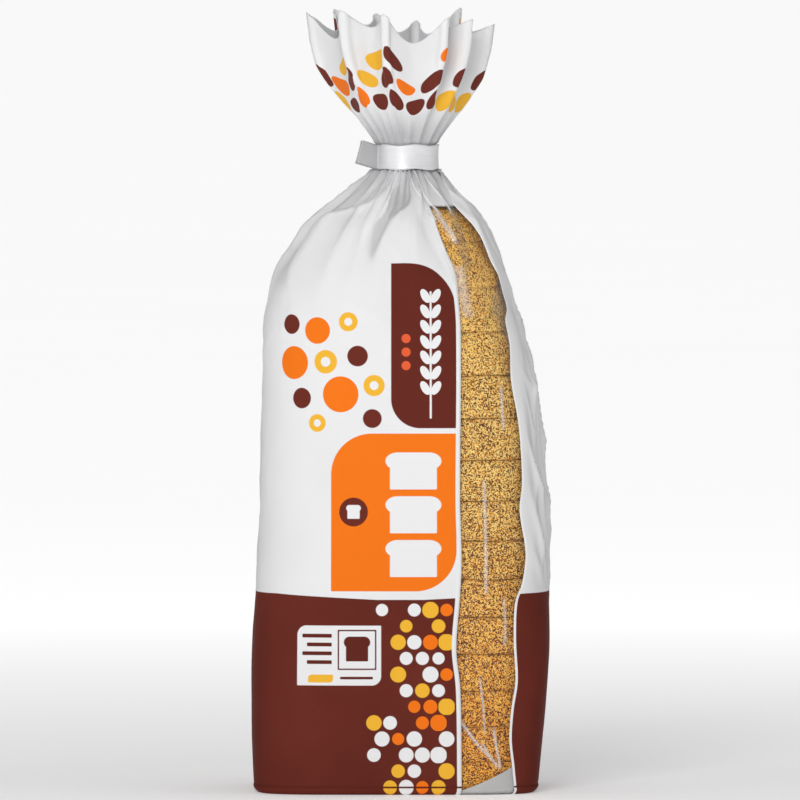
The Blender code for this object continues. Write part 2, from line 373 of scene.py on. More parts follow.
BACK_GAP = (36.0, 39.0, 88.0, 132.0)
BACK_LINE_PITCH = 3.6
LAP_SHADE = 0.7
FRILL_PITCH = 8.0
FRILL_DOT_RADIUS = 4.0
FRILL_PRINT_WIDTH = 20 * FRILL_PITCH
FRILL_DOT_SHIFT = 3.6
FRILL_BAND = (16.0, 46.0)
FRILL_PLAIN_SHARE = 0.36


# Shapes of the bag

def smooth_step(low, high, value):
    """0 below low, 1 above high and a smooth rise between them."""
    share = np.clip((np.asarray(value, float) - low) / (high - low), 0.0, 1.0)
    return share * share * (3.0 - 2.0 * share)


def between(starts, stops, value):
    """1 between two ranges, and smooth slopes from and to 0 over them."""
    return smooth_step(*starts, value) * (1.0 - smooth_step(*stops, value))


def bell(value, middle, width):
    """1 at the middle and a smooth fall to 0 at both sides."""
    return np.exp(-(((value - middle) / width) ** 2))


def waves_at(angle, waves):
    """Sum of waves round the bag, each (reach, number round the bag, phase)."""
    return sum(reach * np.sin(count * angle + phase) for reach, count, phase in waves)


def pleated(phase):
    """Pleats with sharp ridges at 1 and round valleys at -1, one for every half turn of the phase."""
    return 1.0 - 2.0 * np.abs(np.sin(phase))


def along(table, places):
    """A table's columns at these places, on a cubic curve through its rows. Its first column is the place."""
    rows = np.array(table, float)
    stations = rows[:, 0]
    places = np.asarray(places, float)
    upper = np.clip(np.searchsorted(stations, places), 1, len(rows) - 1)
    lower = upper - 1
    before = np.maximum(lower - 1, 0)
    after = np.minimum(upper + 1, len(rows) - 1)
    span = stations[upper] - stations[lower]
    share = np.clip((places - stations[lower]) / span, 0.0, 1.0)
    found = []
    for column in rows[:, 1:].T:
        start, end = column[lower], column[upper]
        slope_in = (end - column[before]) / (stations[upper] - stations[before]) * span
        slope_out = (column[after] - start) / (stations[after] - stations[lower]) * span
        found.append(
            start * (1 + 2 * share) * (1 - share) ** 2
            + slope_in * share * (1 - share) ** 2
            + end * (3 - 2 * share) * share**2
            - slope_out * (1 - share) * share**2
        )
    return found


def oval_radius(angle, half_width, half_depth, squareness):
    """Distance from the middle to a squared oval, at an angle from the front."""
    across = np.abs(np.sin(angle)) / half_width
    deep = np.abs(np.cos(angle)) / half_depth
    return (across**squareness + deep**squareness) ** (-1.0 / squareness)


def round_axis(centre_x, radius, angle, height):
    """Points at a radius and an angle from the front round an upright axis."""
    return np.stack([centre_x + radius * np.sin(angle), -radius * np.cos(angle), height], axis=-1)


def ring_places(height):
    """(angles, places round the film) along the bag's smooth outline at a height."""
    centre_x, half_width, half_depth, squareness = along(BAG_STATIONS, height)
    angles = np.linspace(-math.pi, math.pi, RING_STEPS + 1)
    radius = oval_radius(angles, half_width, half_depth, squareness)
    x = centre_x + radius * np.sin(angles)
    y = -radius * np.cos(angles)
    places = np.concatenate([[0.0], np.cumsum(np.hypot(np.diff(x), np.diff(y)))])
    front = np.abs(angles) < FRONT_SPAN
    return angles, places - np.interp(0.0, x[front], places[front])


def bag_points(angle, height):
    """Points on the outside of the filled bag, before its small folds."""
    centre_x, half_width, half_depth, squareness = along(BAG_STATIONS, height)
    radius = oval_radius(angle, half_width, half_depth, squareness)
    folds = pleated(0.5 * GATHER_PLEATS * (angle + waves_at(angle, GATHER_WAVES)))
    strength = 1.0 - GATHER_UNEVENNESS + GATHER_UNEVENNESS * np.sin(3 * angle + 1.0)
    risen = between((GATHER_START, GATHER_FULL), (GATHER_FULL, NECK_BOTTOM), height)
    calm = 1.0 - CALM_SHARE * bell(angle, 0.0, CALM_REACH) * (1.0 - smooth_step(*CALM_UNTIL, height))
    radius = radius * (1.0 + GATHER_DEPTH * risen * calm * strength * folds)
    drop = np.clip(BASE_EDGE_RADIUS - height, 0.0, BASE_EDGE_RADIUS)
    radius = radius - BASE_EDGE_RADIUS + np.sqrt(BASE_EDGE_RADIUS**2 - drop**2)
    return round_axis(centre_x, radius, angle, height)


def normals_of(points):
    """Outward unit normals of a grid of points whose columns run round the bag and whose rows run up."""
    normal = np.cross(np.gradient(points, axis=1), np.gradient(points, axis=0))
    return normal / np.maximum(np.linalg.norm(normal, axis=-1, keepdims=True), 1e-9)


def noise_at(points, size, shift):
    """Smooth noise, about -1 to 1, at points in mm, with features of this size."""
    flat = points.reshape(-1, 3) / size + shift
    return np.array([noise.noise(Vector(point)) for point in flat]).reshape(points.shape[:-1])


def creased(points, size, shift):
    """Noise with sharp crests and round hollows, 0 to 1."""
    return (1.0 - np.minimum(1.0, np.abs(noise_at(points, size, shift)) * 2.2)) ** 2


def layered(texture, points, layers):
    """Sum of layers of one noise, each (height, size of its features, shift)."""
    return sum(height * texture(points, size, shift) for height, size, shift in layers)


def squashed(points, share):
    """Points lowered to a share of their height, so that noise read there is drawn out upwards."""
    return points * np.array([1.0, 1.0, share])


def route_place(route, heights):
    """Place of a route at these heights, held at its ends."""
    return along(route, np.clip(heights, route[0][0], route[-1][0]))[0]


def shoulder_folds(places, gathered, heights):
    """(height, crest, valley) of the drawn folds, shallower and wider where the bag is narrowed."""
    squeeze = np.abs(places) / np.maximum(np.abs(gathered), 1e-6)
    squeeze = np.where(np.abs(gathered) < 1e-3, 1.0, squeeze)
    shallower = np.minimum(1.0, FOLD_SHALLOWING * squeeze)
    wider = np.maximum(1.0, FOLD_LEAST_WIDTH / squeeze)
    relief, crest, valley = (np.zeros_like(gathered) for _ in range(3))
    for depth, before, after, route in SHOULDER_FOLDS:
        bottom = route[0][0]
        offset = gathered - route_place(route, heights)
        width = np.where(offset < 0.0, before, after) * wider
        section = np.exp(-((np.abs(offset) / width) ** FOLD_SHARPNESS))
        section *= smooth_step(bottom - 1.0, bottom + FOLD_FADE, heights)
        relief += depth * shallower * section
        kind = crest if depth > 0.0 else valley
        np.maximum(kind, section, out=kind)
    return relief, crest, valley


def film_grey(places, gathered, heights):
    """Painted shade of the film, 0 to 1: darker towards the neck, in its patches and in the drawn folds'
    valleys, and lighter on their crests.
    """
    _, crest, valley = shoulder_folds(places, gathered, heights)
    grey = NECK_PAINTED_SHADE * smooth_step(202.0, NECK_BOTTOM, heights)
    grey = grey + VALLEY_PAINTED_SHADE * valley * smooth_step(176.0, 200.0, heights)
    for strength, soft_left, soft_right, rows in PAINTED_SHADE_PATCHES:
        bottom, top = rows[0][0], rows[-1][0]
        left, right = along(rows, np.clip(heights, bottom, top))
        ends = smooth_step(bottom - 2.0, bottom + 4.0, heights)
        if top < NECK_BOTTOM:
            ends = ends * (1.0 - smooth_step(top - 4.0, top + 2.0, heights))
        for shift in (0.0, HALF_FILM, -HALF_FILM):
            offset = gathered + shift
            begins = smooth_step(left - 0.5 * soft_left, left + 0.5 * soft_left, offset)
            stops = 1.0 - smooth_step(right - 0.5 * soft_right, right + 0.5 * soft_right, offset)
            grey = np.maximum(grey, strength * ends * begins * stops)
    return grey * (1.0 - CREST_PAINTED_LIGHT * crest)


def crease_relief(places, heights, creases, fade):
    """(relief, whitening) of thin creases that stand out of clear film. The whitening is partly the milkiness
    of creased film and partly a painted glint.
    """
    relief = np.zeros_like(places)
    white = np.zeros_like(places)
    for rise, width, painted_glint, route in creases:
        bottom, top = route[0][0], route[-1][0]
        ends = smooth_step(bottom - fade, bottom + fade, heights)
        if top < NECK_BOTTOM:
            ends = ends * (1.0 - smooth_step(top - fade, top + fade, heights))
        section = bell(places, route_place(route, heights), width) * ends
        relief += rise * section
        white = np.maximum(white, painted_glint * section)
    return relief, white


def crumpled(places, heights):
    """How crumpled the film is, 0 to 1: most on the side beside the window, less on the other side."""
    sides = between(*CRUMPLED_RIGHT, places) + CRUMPLED_LEFT_SHARE * between(*CRUMPLED_LEFT, places)
    return sides * between(*CRUMPLED_HEIGHTS, heights)


def film_relief(places, gathered, angles, heights, smooth):
    """Height of the film's folds, dents and welds over the smooth bag."""
    shoulder, _, _ = shoulder_folds(places, gathered, heights)
    shoulder *= 1.0 - smooth_step(GATHER_FULL, NECK_BOTTOM, heights)
    pleats = pleated(0.5 * NECK_PLEATS * angles + waves_at(angles, NECK_WAVES))
    pleats *= sum(rise * smooth_step(low, high, heights) for rise, low, high in NECK_PLEAT_RISES)
    leaning = squashed(smooth, CRUMPLE_STRETCH) + CRUMPLE_LEAN * smooth[..., 2:] * np.array([0.0, 1.0, 0.0])
    crumple = (layered(creased, leaning, CRUMPLES) - CRUMPLE_SINK) * crumpled(places, heights)
    dents = layered(noise_at, squashed(smooth, DENT_STRETCH), DENTS)
    wrinkles = creased(squashed(smooth, WRINKLE_STRETCH), WRINKLE_SIZE, 2.2)
    wrinkles = (WRINKLE_RISE + WRINKLE_UPPER_RISE * smooth_step(*WRINKLE_GROWTH, heights)) * wrinkles
    still = smooth_step(FOOT_STRIP + 1.0, FOOT_STRIP + 14.0, heights)
    rolled = ROLL_RISE * bell(heights, ROLL_HEIGHT, ROLL_WIDTH)
    weld = WELD_RISE * (1.0 - smooth_step(FOOT_STRIP - 0.5, FOOT_STRIP, heights))
    groove = -WELD_LINE_DEPTH * bell(heights, WELD_LINE, 0.28)
    from_back = HALF_FILM - np.abs(gathered)
    lap = LAP_RISE * (1.0 - smooth_step(LAP_HALF_WIDTH - 0.6, LAP_HALF_WIDTH + 0.6, from_back))
    lap *= 1.0 - smooth_step(196.0, 206.0, heights)
    return lap + shoulder + pleats + crumple + still * (dents + wrinkles) + rolled + weld + groove


def film_grid(places, heights, inset=0.0, clear=False):
    """(points, tone) for rows of places at these heights. The tone is painted shade, or the whitening of a
    crease's painted glint.
    """
    angles = np.empty_like(places)
    gathered = np.empty_like(places)
    for row, height in enumerate(heights):
        ring_angles, ring = ring_places(height)
        angles[row] = np.interp(places[row], ring, ring_angles)
        gathered[row] = places[row] * 2.0 * HALF_FILM / (ring[-1] - ring[0])
    levels = levels_of(places, heights)
    smooth = bag_points(angles, levels)
    relief = film_relief(places, gathered, angles, levels, smooth)
    if clear:
        low_relief, low_glint = crease_relief(places, levels, WINDOW_CREASES, WINDOW_CREASE_FADE)
        high_relief, high_glint = crease_relief(gathered, levels, NECK_CREASES, NECK_CREASE_FADE)
        relief = WINDOW_RELIEF_SHARE * relief + low_relief + high_relief
        tone = np.maximum(low_glint, high_glint)
    else:
        # Painted shade on the crumpled side: facets that fall away to the right are painted darker.
        falling = -np.gradient(relief, axis=1) / np.gradient(places, axis=1)
        shaded = crumpled(places, levels) * smooth_step(*SIDE_SHADE_SLOPE, falling)
        tone = film_grey(places, gathered, levels) + SIDE_PAINTED_SHADE * shaded
    points = smooth + normals_of(smooth) * (relief - inset)[..., None]
    points[..., 2] = np.maximum(points[..., 2], FOOT_CLEARANCE)
    return points, tone


def levels_of(places, heights):
    """Each row's height for each of its places."""
    return np.repeat(heights[:, None], places.shape[1], axis=1)


def spread(length, first, last):
    """Shares from 0 to 1 of points whose spacing changes evenly from first to last over a length."""
    ratio = last / first
    count = int(round(length * math.log(ratio) / (last - first)))
    return (ratio ** (np.arange(count + 1) / count) - 1.0) / (ratio - 1.0)


def row_heights(spacing_low, spacing_high, top):
    """Heights of the film's rows: close at the foot, then even, then close over the shoulders."""
    middle = np.arange(EVEN_ROWS_FROM, GATHER_START, spacing_low)
    upper = np.linspace(GATHER_START, top, int((top - GATHER_START) / spacing_high))
    return np.concatenate([FOOT_ROWS, middle, upper])


# Mesh making

def add_sheet(bm, points, maps, **numbers):
    """Adds a grid of faces through rows of points, in mm, with maps and with numbers for its points."""
    map_layers = [bm.loops.layers.uv.get(name) or bm.loops.layers.uv.new(name) for name in maps]
    number_layers = [bm.verts.layers.float.get(name) or bm.verts.layers.float.new(name) for name in numbers]
    rows, columns = points.shape[0] - 1, points.shape[1] - 1
    made = bmesh.ops.create_grid(bm, x_segments=columns, y_segments=rows, size=1.0)["verts"]
    bm.verts.index_update()
    made.sort(key=lambda vert: vert.index)
    first = made[0].index
    for vert, point in zip(made, points.reshape(-1, 3) * MM):
        vert.co = point
    for layer, values in zip(number_layers, numbers.values()):
        for vert, value in zip(made, values.ravel()):
            vert[layer] = value
    faces = {face for vert in made for face in vert.link_faces}
    for layer, values in zip(map_layers, maps.values()):
        flat = values.reshape(-1, 2)
        for face in faces:
            for loop in face.loops:
                loop[layer].uv = flat[loop.vert.index - first]
    return made


def finish_piece(name, bm, materials, replaced, thickness=0.0):
    """Makes the bmesh a smooth piece that rides on the part's one body. A sheet is thickened inwards."""
    mesh = bpy.data.meshes.new(name)
    bm.to_mesh(mesh)
    bm.free()
    mesh.shade_smooth()
    for material in materials:
        mesh.materials.append(material)
    piece = bpy.data.objects.new(name, mesh)
    bpy.context.scene.collection.objects.link(piece)
    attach(piece, "root")
    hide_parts(*replaced)
    if thickness:
        solid = piece.modifiers.new("Film thickness", "SOLIDIFY")
        solid.thickness = thickness
        solid.offset = -1.0
        solid.material_offset = len(materials) - 1
        solid.material_offset_rim = len(materials) - 1


# Materials

def linear(red, green, blue):
    """Scene-linear colour of an sRGB colour given from 0 to 255."""
    shares = [value / 255.0 for value in (red, green, blue)]
    return tuple(share / 12.92 if share < 0.04045 else ((share + 0.055) / 1.055) ** 2.4 for share in shares)


def shade(colour, share):
    """A colour made darker by a factor."""
    return tuple(share * value for value in colour)


class Paint:
    """Adds nodes to one material. Each method returns the socket that carries its result."""

    def __init__(self, name, **finish):
        self.material = bpy.data.materials.new(name)
        self.material.use_nodes = True
        self.nodes = self.material.node_tree.nodes
        self.links = self.material.node_tree.links
        self.shader = self.nodes["Principled BSDF"]
        self.here = self.add("ShaderNodeTexCoord", {}, "Object")
        for socket, value in finish.items():
            self.shader.inputs[socket.replace("_", " ")].default_value = value

    def feed(self, socket, value):
        """Links a socket to another one, or sets its value."""
        if isinstance(value, bpy.types.NodeSocket):
            self.links.new(value, socket)
        else:
            socket.default_value = value

    def add(self, kind, inputs, output=0, **settings):
        """Adds a node with these inputs and settings."""
        node = self.nodes.new(kind)
        for name, value in settings.items():
            setattr(node, name, value)
        for key, value in inputs.items():
            self.feed(node.inputs[key], value)
        return node.outputs[output]

    def math(self, operation, *values, clamp=False):
        """One step of arithmetic."""
        return self.add("ShaderNodeMath", dict(enumerate(values)), operation=operation, use_clamp=clamp)

    def vector(self, operation, *values, output=0):
        """One step of vector arithmetic."""
        return self.add("ShaderNodeVectorMath", dict(enumerate(values)), output, operation=operation)

    def map(self, name):
        """A map's value, and its two numbers."""
        place = self.add("ShaderNodeUVMap", {}, uv_map=name)
        return place, *self.split(place)

    def split(self, vector):
        """The first two numbers of a vector."""
        node = self.nodes.new("ShaderNodeSeparateXYZ")
        self.links.new(vector, node.inputs[0])
        return node.outputs[0], node.outputs[1]

    def joined(self, across, up, third=0.0):
        """A place or colour made of its numbers."""
        return self.add("ShaderNodeCombineXYZ", {0: across, 1: up, 2: third})

    def height(self):
        """The point's height on the piece, in metres."""
        return self.vector("DOT_PRODUCT", self.here, (0.0, 0.0, 1.0), output=1)

    def number(self, name):
        """A number that is stored with the piece's points."""
        return self.add("ShaderNodeAttribute", {}, "Fac", attribute_name=name)

    def inside(self, distance, reach=0.0):
        """1 where a distance is less than reach, with the print's soft edge."""
        return self.math("MULTIPLY_ADD", distance, -1.0 / PRINT_BLUR, reach / PRINT_BLUR + 0.5, clamp=True)

    def line(self, value, middle, half):
        """1 where a value is within half of the middle."""
        return self.inside(self.math("ABSOLUTE", self.math("SUBTRACT", value, middle)), half)

    def dot(self, place, x, y, radius):
        """A round dot."""
        return self.inside(self.vector("DISTANCE", place, (x, y, 0.0), output=1), radius)

    def tile(self, place, left, right, bottom, top, radius=0.0, leaning=1.0):
        """A rectangle.

        A radius rounds the two corners on its rising diagonal, or on the falling one if leaning is -1.
        """
        centre = (0.5 * (left + right), 0.5 * (bottom + top), 0.0)
        half = (0.5 * (right - left), 0.5 * (top - bottom), 1000.0)
        offset = self.vector("SUBTRACT", place, centre)
        rounding, rounded = CORNER, (CORNER, CORNER, 0.0)
        if radius:
            across, up = self.split(offset)
            rising = self.math("GREATER_THAN", self.math("MULTIPLY", across, up), 0.0)
            falling_radius, rising_radius = (CORNER, radius) if leaning > 0 else (radius, CORNER)
            rounding = self.math("MULTIPLY_ADD", rising, rising_radius - falling_radius, falling_radius)
            rounded = rounding
        beyond = self.vector("SUBTRACT", self.vector("ABSOLUTE", offset), half)
        beyond = self.vector("MAXIMUM", self.vector("ADD", beyond, rounded), (0.0, 0.0, 0.0))
        length = self.vector("LENGTH", beyond, output=1)
        return self.inside(self.math("SUBTRACT", length, rounding))

    def union(self, *masks):
        """1 where any of the masks is."""
        found = masks[0]
        for mask in masks[1:]:
            found = self.math("MAXIMUM", found, mask)
        return found

    def both(self, *masks):
        """1 where all of the masks are."""
        found = masks[0]
        for mask in masks[1:]:
            found = self.math("MULTIPLY", found, mask)
        return found

    def without(self, mask, hole):
        """A mask with a hole in it."""
        return self.both(mask, self.math("SUBTRACT", 1.0, hole))

    def over(self, below, colour, mask):
        """A colour laid over another one through a mask."""
        colour = colour if isinstance(colour, bpy.types.NodeSocket) else (*colour, 1.0)
        below = below if isinstance(below, bpy.types.NodeSocket) else (*below, 1.0)
        return self.add("ShaderNodeMix", {0: mask, 6: below, 7: colour}, 2, data_type="RGBA")

    def noise(self, vector, size, detail=2.0, roughness=0.5):
        """Smooth noise with features of this size in mm."""
        inputs = {"Vector": vector, "Scale": 1.0 / (size * MM), "Detail": detail, "Roughness": roughness}
        return self.add("ShaderNodeTexNoise", inputs)

    def cells(self, size, output):
        """Irregular cells of this size in mm."""
        return self.add("ShaderNodeTexVoronoi", {"Vector": self.here, "Scale": 1.0 / (size * MM)}, output)

    def ramp(self, value, *stops):
        """A colour ramp through (position, colour) stops."""
        node = self.nodes.new("ShaderNodeValToRGB")
        self.links.new(value, node.inputs[0])
        elements = node.color_ramp.elements
        while len(elements) < len(stops):
            elements.new(0.5)
        for element, (position, colour) in zip(elements, stops):
            element.position = position
            element.color = (*colour, 1.0)
        return node.outputs[0]

    def mottled(self, colour, size, share=FILM_MOTTLE):
        """A colour with soft darker patches of this size."""
        return self.ramp(self.noise(self.here, size), (0.35, shade(colour, share)), (0.65, colour))

    def range(self, value, low, high, to_low, to_high):
        """A value mapped from one range to another, held at its ends."""
        return self.add("ShaderNodeMapRange", {0: value, 1: low, 2: high, 3: to_low, 4: to_high})

    def tinted(self, colour, tint):
        """A colour multiplied by another one."""
        inputs = {0: 1.0, 6: colour, 7: tint}
        return self.add("ShaderNodeMix", inputs, 2, data_type="RGBA", blend_type="MULTIPLY")

    def greyed(self, colour):
        """A colour made darker by the painted shade that is stored with the piece's points."""
        return self.tinted(colour, self.over((1.0, 1.0, 1.0), PAINTED_SHADE_COLOUR, self.number("grey")))

    def bump(self, height, strength, distance):
        """A normal from a height."""
        inputs = {"Strength": strength, "Distance": distance * MM, "Height": height}
        return self.add("ShaderNodeBump", inputs)

    def finish(self, colour, *bump):
        """Feeds the shader's colour, and its normal from a bump. Returns the material."""
        self.feed(self.shader.inputs["Base Color"], colour)
        if bump:
            self.feed(self.shader.inputs["Normal"], self.bump(*bump))
        return self.material


def bread_slice_mark(paint, place, x, y, width):
    """A plain slice of bread: a square body under a wider rounded crown."""
    half = 0.5 * width
    shoulder = 0.56 * half
    body = paint.tile(place, x - 0.84 * half, x + 0.84 * half, y - 0.62 * width, y + 0.1 * width)
    sides = [paint.dot(place, x + side * shoulder, y + 0.1 * width, 0.44 * half) for side in (-1, 1)]
    crown = paint.tile(place, x - shoulder, x + shoulder, y, y + 0.32 * width)
    return paint.union(body, *sides, crown)


def wheat_ear_mark(paint, across, up, x, bottom, pairs, pitch):
    """A plain ear of wheat: leaning grains in pairs up a stalk."""
    sideways = paint.math("ABSOLUTE", paint.math("SUBTRACT", across, x))
    raised = paint.math("SUBTRACT", up, bottom)
    step = paint.math("SUBTRACT", paint.math("MODULO", raised, pitch), 0.5 * pitch)
    offset = paint.math("SUBTRACT", sideways, GRAIN_OFFSET * pitch)
    sine, cosine = math.sin(GRAIN_LEAN), math.cos(GRAIN_LEAN)
    lengthwise = paint.math("MULTIPLY_ADD", offset, sine, paint.math("MULTIPLY", step, cosine))
    crosswise = paint.math("MULTIPLY_ADD", offset, cosine, paint.math("MULTIPLY", step, -sine))
    lengthwise = paint.math("DIVIDE", lengthwise, GRAIN_LENGTH)
    crosswise = paint.math("DIVIDE", crosswise, GRAIN_WIDTH)
    grains = paint.inside(paint.vector("LENGTH", paint.joined(lengthwise, crosswise), output=1), pitch)
    top = bottom + pairs * pitch
    span = paint.both(paint.math("GREATER_THAN", up, bottom + pitch), paint.math("LESS_THAN", up, top))
    foot, tip = bottom - 0.5 * pitch, top - 0.2 * pitch
    stalk = paint.tile(paint.joined(across, up), x - STALK_HALF, x + STALK_HALF, foot, tip)
    return paint.union(paint.both(grains, span), stalk)


def dot_field(paint, place, pitch, radius):
    """Dots on a staggered grid, as (mask, each dot's centre across, up, and two random numbers for it)."""
    across, up = paint.split(place)
    row = paint.math("FLOOR", paint.math("DIVIDE", up, pitch))
    shift = paint.math("MULTIPLY", paint.math("MODULO", row, 2.0), 0.5 * pitch)
    moved = paint.math("ADD", across, shift)
    column = paint.math("FLOOR", paint.math("DIVIDE", moved, pitch))
    dice = paint.add("ShaderNodeTexWhiteNoise", {"Vector": paint.joined(column, row)}, "Color")
    first, second = paint.split(dice)
    middle_across = paint.math("MULTIPLY", paint.math("ADD", column, 0.5), pitch)
    middle_up = paint.math("MULTIPLY", paint.math("ADD", row, 0.5), pitch)
    middle = paint.joined(middle_across, middle_up)
    distance = paint.vector("DISTANCE", paint.joined(moved, up), middle, output=1)
    size = paint.math("MULTIPLY_ADD", paint.math("FRACT", paint.math("MULTIPLY", second, 5.3)), 0.3, 0.72)
    disc = paint.inside(paint.math("SUBTRACT", distance, paint.math("MULTIPLY", size, radius)))
    return disc, paint.math("SUBTRACT", middle_across, shift), middle_up, first, second


def dot_colour(paint, film, plain, plain_share, dice):
    """A dot's colour by a random number: a share of them plain, the others yellow or orange."""
    warm = paint.over(film.yellow, film.orange, paint.math("GREATER_THAN", dice, ORANGE_ABOVE))
    return paint.over(plain, warm, paint.math("GREATER_THAN", dice, plain_share))


def base_print(paint, colour, film, place, across, up):
    """The brown lower part, with a field of dots that thins out to the left."""
    rise = paint.range(paint.math("ABSOLUTE", across), *BASE_RISE)
    base = paint.inside(paint.math("SUBTRACT", paint.math("SUBTRACT", up, rise), BASE_TOP))
    clouds = paint.noise(paint.here, 26.0)
    brown = paint.ramp(clouds, (0.3, shade(film.brown, DEEP_BROWN)), (0.75, film.brown))
    colour = paint.over(colour, brown, base)
    moved = paint.vector("ADD", place, (BASE_DOT_SHIFT, 0.0, 0.0))
    dots, middle_across, middle_up, first, second = dot_field(paint, moved, *BASE_DOTS)
    kept = paint.both(
        paint.math("LESS_THAN", first, paint.range(middle_across, *BASE_DOTS_THINNING)),
        paint.math("LESS_THAN", middle_across, BASE_DOTS_SPAN[1]),
        paint.math("GREATER_THAN", middle_across, BASE_DOTS_SPAN[0]),
        paint.math("LESS_THAN", middle_up, BASE_DOTS_TOP),
    )
    kept = paint.without(kept, paint.tile(paint.joined(middle_across, middle_up), *BASE_DOTS_HOLE))
    tone = dot_colour(paint, film, film.white, BASE_PLAIN_SHARE, second)
    return paint.over(colour, tone, paint.both(dots, kept, base))


def panel_print(paint, colour, film, place, across, up):
    """The brown panel with an ear and beads, and the orange one under it with slices of bread."""
    panel = paint.both(*(paint.tile(place, *tile) for tile in UPPER_PANEL))
    colour = paint.over(colour, shade(film.brown, PANEL_BROWN), panel)
    colour = paint.over(colour, film.white, wheat_ear_mark(paint, across, up, *UPPER_EAR))
    colour = paint.over(colour, film.red, paint.union(*(paint.dot(place, *bead) for bead in BEADS)))
    colour = paint.over(colour, film.orange, paint.tile(place, *ORANGE_PANEL, leaning=-1.0))
    stacked = paint.math("MODULO", paint.math("SUBTRACT", up, STACK_BOTTOM), STACK_PITCH)
    squeezed = paint.joined(paint.math("DIVIDE", across, STACK_WIDENING), stacked)
    slices = bread_slice_mark(paint, squeezed, *STACK_SLICE)
    colour = paint.over(colour, film.white, paint.both(slices, paint.tile(place, *STACK_SPAN)))
    colour = paint.over(colour, film.brown, paint.dot(place, *ROUNDEL))
    return paint.over(colour, film.white, bread_slice_mark(paint, place, *ROUNDEL_SLICE))


def label_print(paint, colour, film, place):
    """The white label on the brown part: bars, a framed slice of bread and a yellow pill."""
    colour = paint.over(colour, film.white, paint.tile(place, *LABEL, leaning=-1.0))
    outer, inner = (paint.tile(place, *tile) for tile in LABEL_FRAME)
    slice_mark = bread_slice_mark(paint, place, *LABEL_SLICE)
    bars = [paint.tile(place, *bar) for bar in (LABEL_FOOT_BAR, *LABEL_BARS)]
    marks = paint.union(paint.without(outer, inner), slice_mark, *bars)
    colour = paint.over(colour, shade(film.brown, DEEP_BROWN), marks)
    return paint.over(colour, film.yellow, paint.tile(place, *LABEL_PILL, leaning=-1.0))


def spot_print(paint, colour, film, place):
    """Brown and orange dots and yellow rings on the upper white part."""
    groups = ((film.brown, BROWN_SPOTS), (film.orange, ORANGE_SPOTS), (film.yellow, YELLOW_SPOTS))
    for tone, spots in groups:
        masks = [paint.dot(place, *spot) for spot in spots]
        colour = paint.over(colour, tone[:], paint.union(*masks))
    holes = [paint.dot(place, x, y, SPOT_HOLE * radius) for x, y, radius in YELLOW_SPOTS]
    return paint.over(colour, film.white, paint.union(*holes))


def back_print(paint, colour, film):
    """Plain print on the back: an orange panel with an ear, and a brown frame round a field of lines."""
    place, across, up = paint.map("back")
    colour = paint.over(colour, film.orange, paint.tile(place, *BACK_PANEL, leaning=-1.0))
    colour = paint.over(colour, film.white, wheat_ear_mark(paint, across, up, *BACK_EAR))
    outer, inner = (paint.tile(place, *tile) for tile in BACK_FRAME)
    stripe = paint.line(paint.math("MODULO", up, BACK_LINE_PITCH), 0.5 * BACK_LINE_PITCH, 0.45)
    lined = paint.both(stripe, paint.tile(place, *BACK_LINES))
    lines = paint.without(lined, paint.tile(place, *BACK_GAP))
    lap_edge = paint.line(paint.math("ABSOLUTE", across), LAP_HALF_WIDTH, 0.3)
    colour = paint.over(colour, shade(film.white, 0.8), paint.both(lap_edge, LAP_SHADE))
    return paint.over(colour, film.brown, paint.union(paint.without(outer, inner), lines))


def printed_film_paint(film):
    """White film with brown, orange and yellow print, drawn on the film's own maps, and painted shade from
    its points.
    """
    paint = Paint("Printed film", Roughness=0.45, IOR=1.03)
    place, across, up = paint.map("film")
    _, from_left, from_right = paint.map("borders")
    colour = paint.mottled(film.white, 38.0)
    colour = base_print(paint, colour, film, place, across, up)
    colour = panel_print(paint, colour, film, place, across, up)
    colour = label_print(paint, colour, film, place)
    colour = spot_print(paint, colour, film, place)
    colour = back_print(paint, colour, film)
    border = paint.union(paint.line(from_left, *LEFT_BORDER), paint.line(from_right, *RIGHT_BORDER))
    colour = paint.over(colour, film.white, border)
    colour = paint.over(colour, shade(film.brown, DEEP_BROWN), paint.line(up, WELD_LINE, 0.3))
    return paint.finish(paint.greyed(colour), paint.noise(paint.here, 3.4, 4.0, 0.55), 0.35, 0.12)


def frill_print_paint(film):
    """The frill's outside: white film with a band of printed dots, and painted shade from its points."""
    paint = Paint("Frill film", Roughness=0.45, Specular_IOR_Level=0.05)
    place, _, _ = paint.map("frill")
    moved = paint.vector("ADD", place, (0.0, FRILL_DOT_SHIFT, 0.0))
    dots, _, middle_up, first, second = dot_field(paint, moved, FRILL_PITCH, FRILL_DOT_RADIUS)
    kept = paint.both(
        paint.math("LESS_THAN", first, paint.range(middle_up, *FRILL_BAND, 1.15, 0.2)),
        paint.math("GREATER_THAN", middle_up, FRILL_BAND[0]),
        paint.math("LESS_THAN", middle_up, FRILL_BAND[1]),
    )
    tone = dot_colour(paint, film, film.brown, FRILL_PLAIN_SHARE, second)
    colour = paint.over(paint.mottled(film.white, 24.0), tone, paint.both(dots, kept))
    return paint.finish(paint.greyed(colour), paint.noise(paint.here, 3.0, 4.0, 0.55), 0.3, 0.1)


def film_inside_paint(film):
    """The unprinted inside of the white film, with painted shade from the points of the piece that wears it.
    """
    paint = Paint("Film inside", Roughness=0.45, Specular_IOR_Level=0.2)
    colour = paint.greyed(paint.mottled(film.white, 18.0, 0.93))
    return paint.finish(colour, paint.noise(paint.here, 3.0, 4.0, 0.55), 0.3, 0.1)


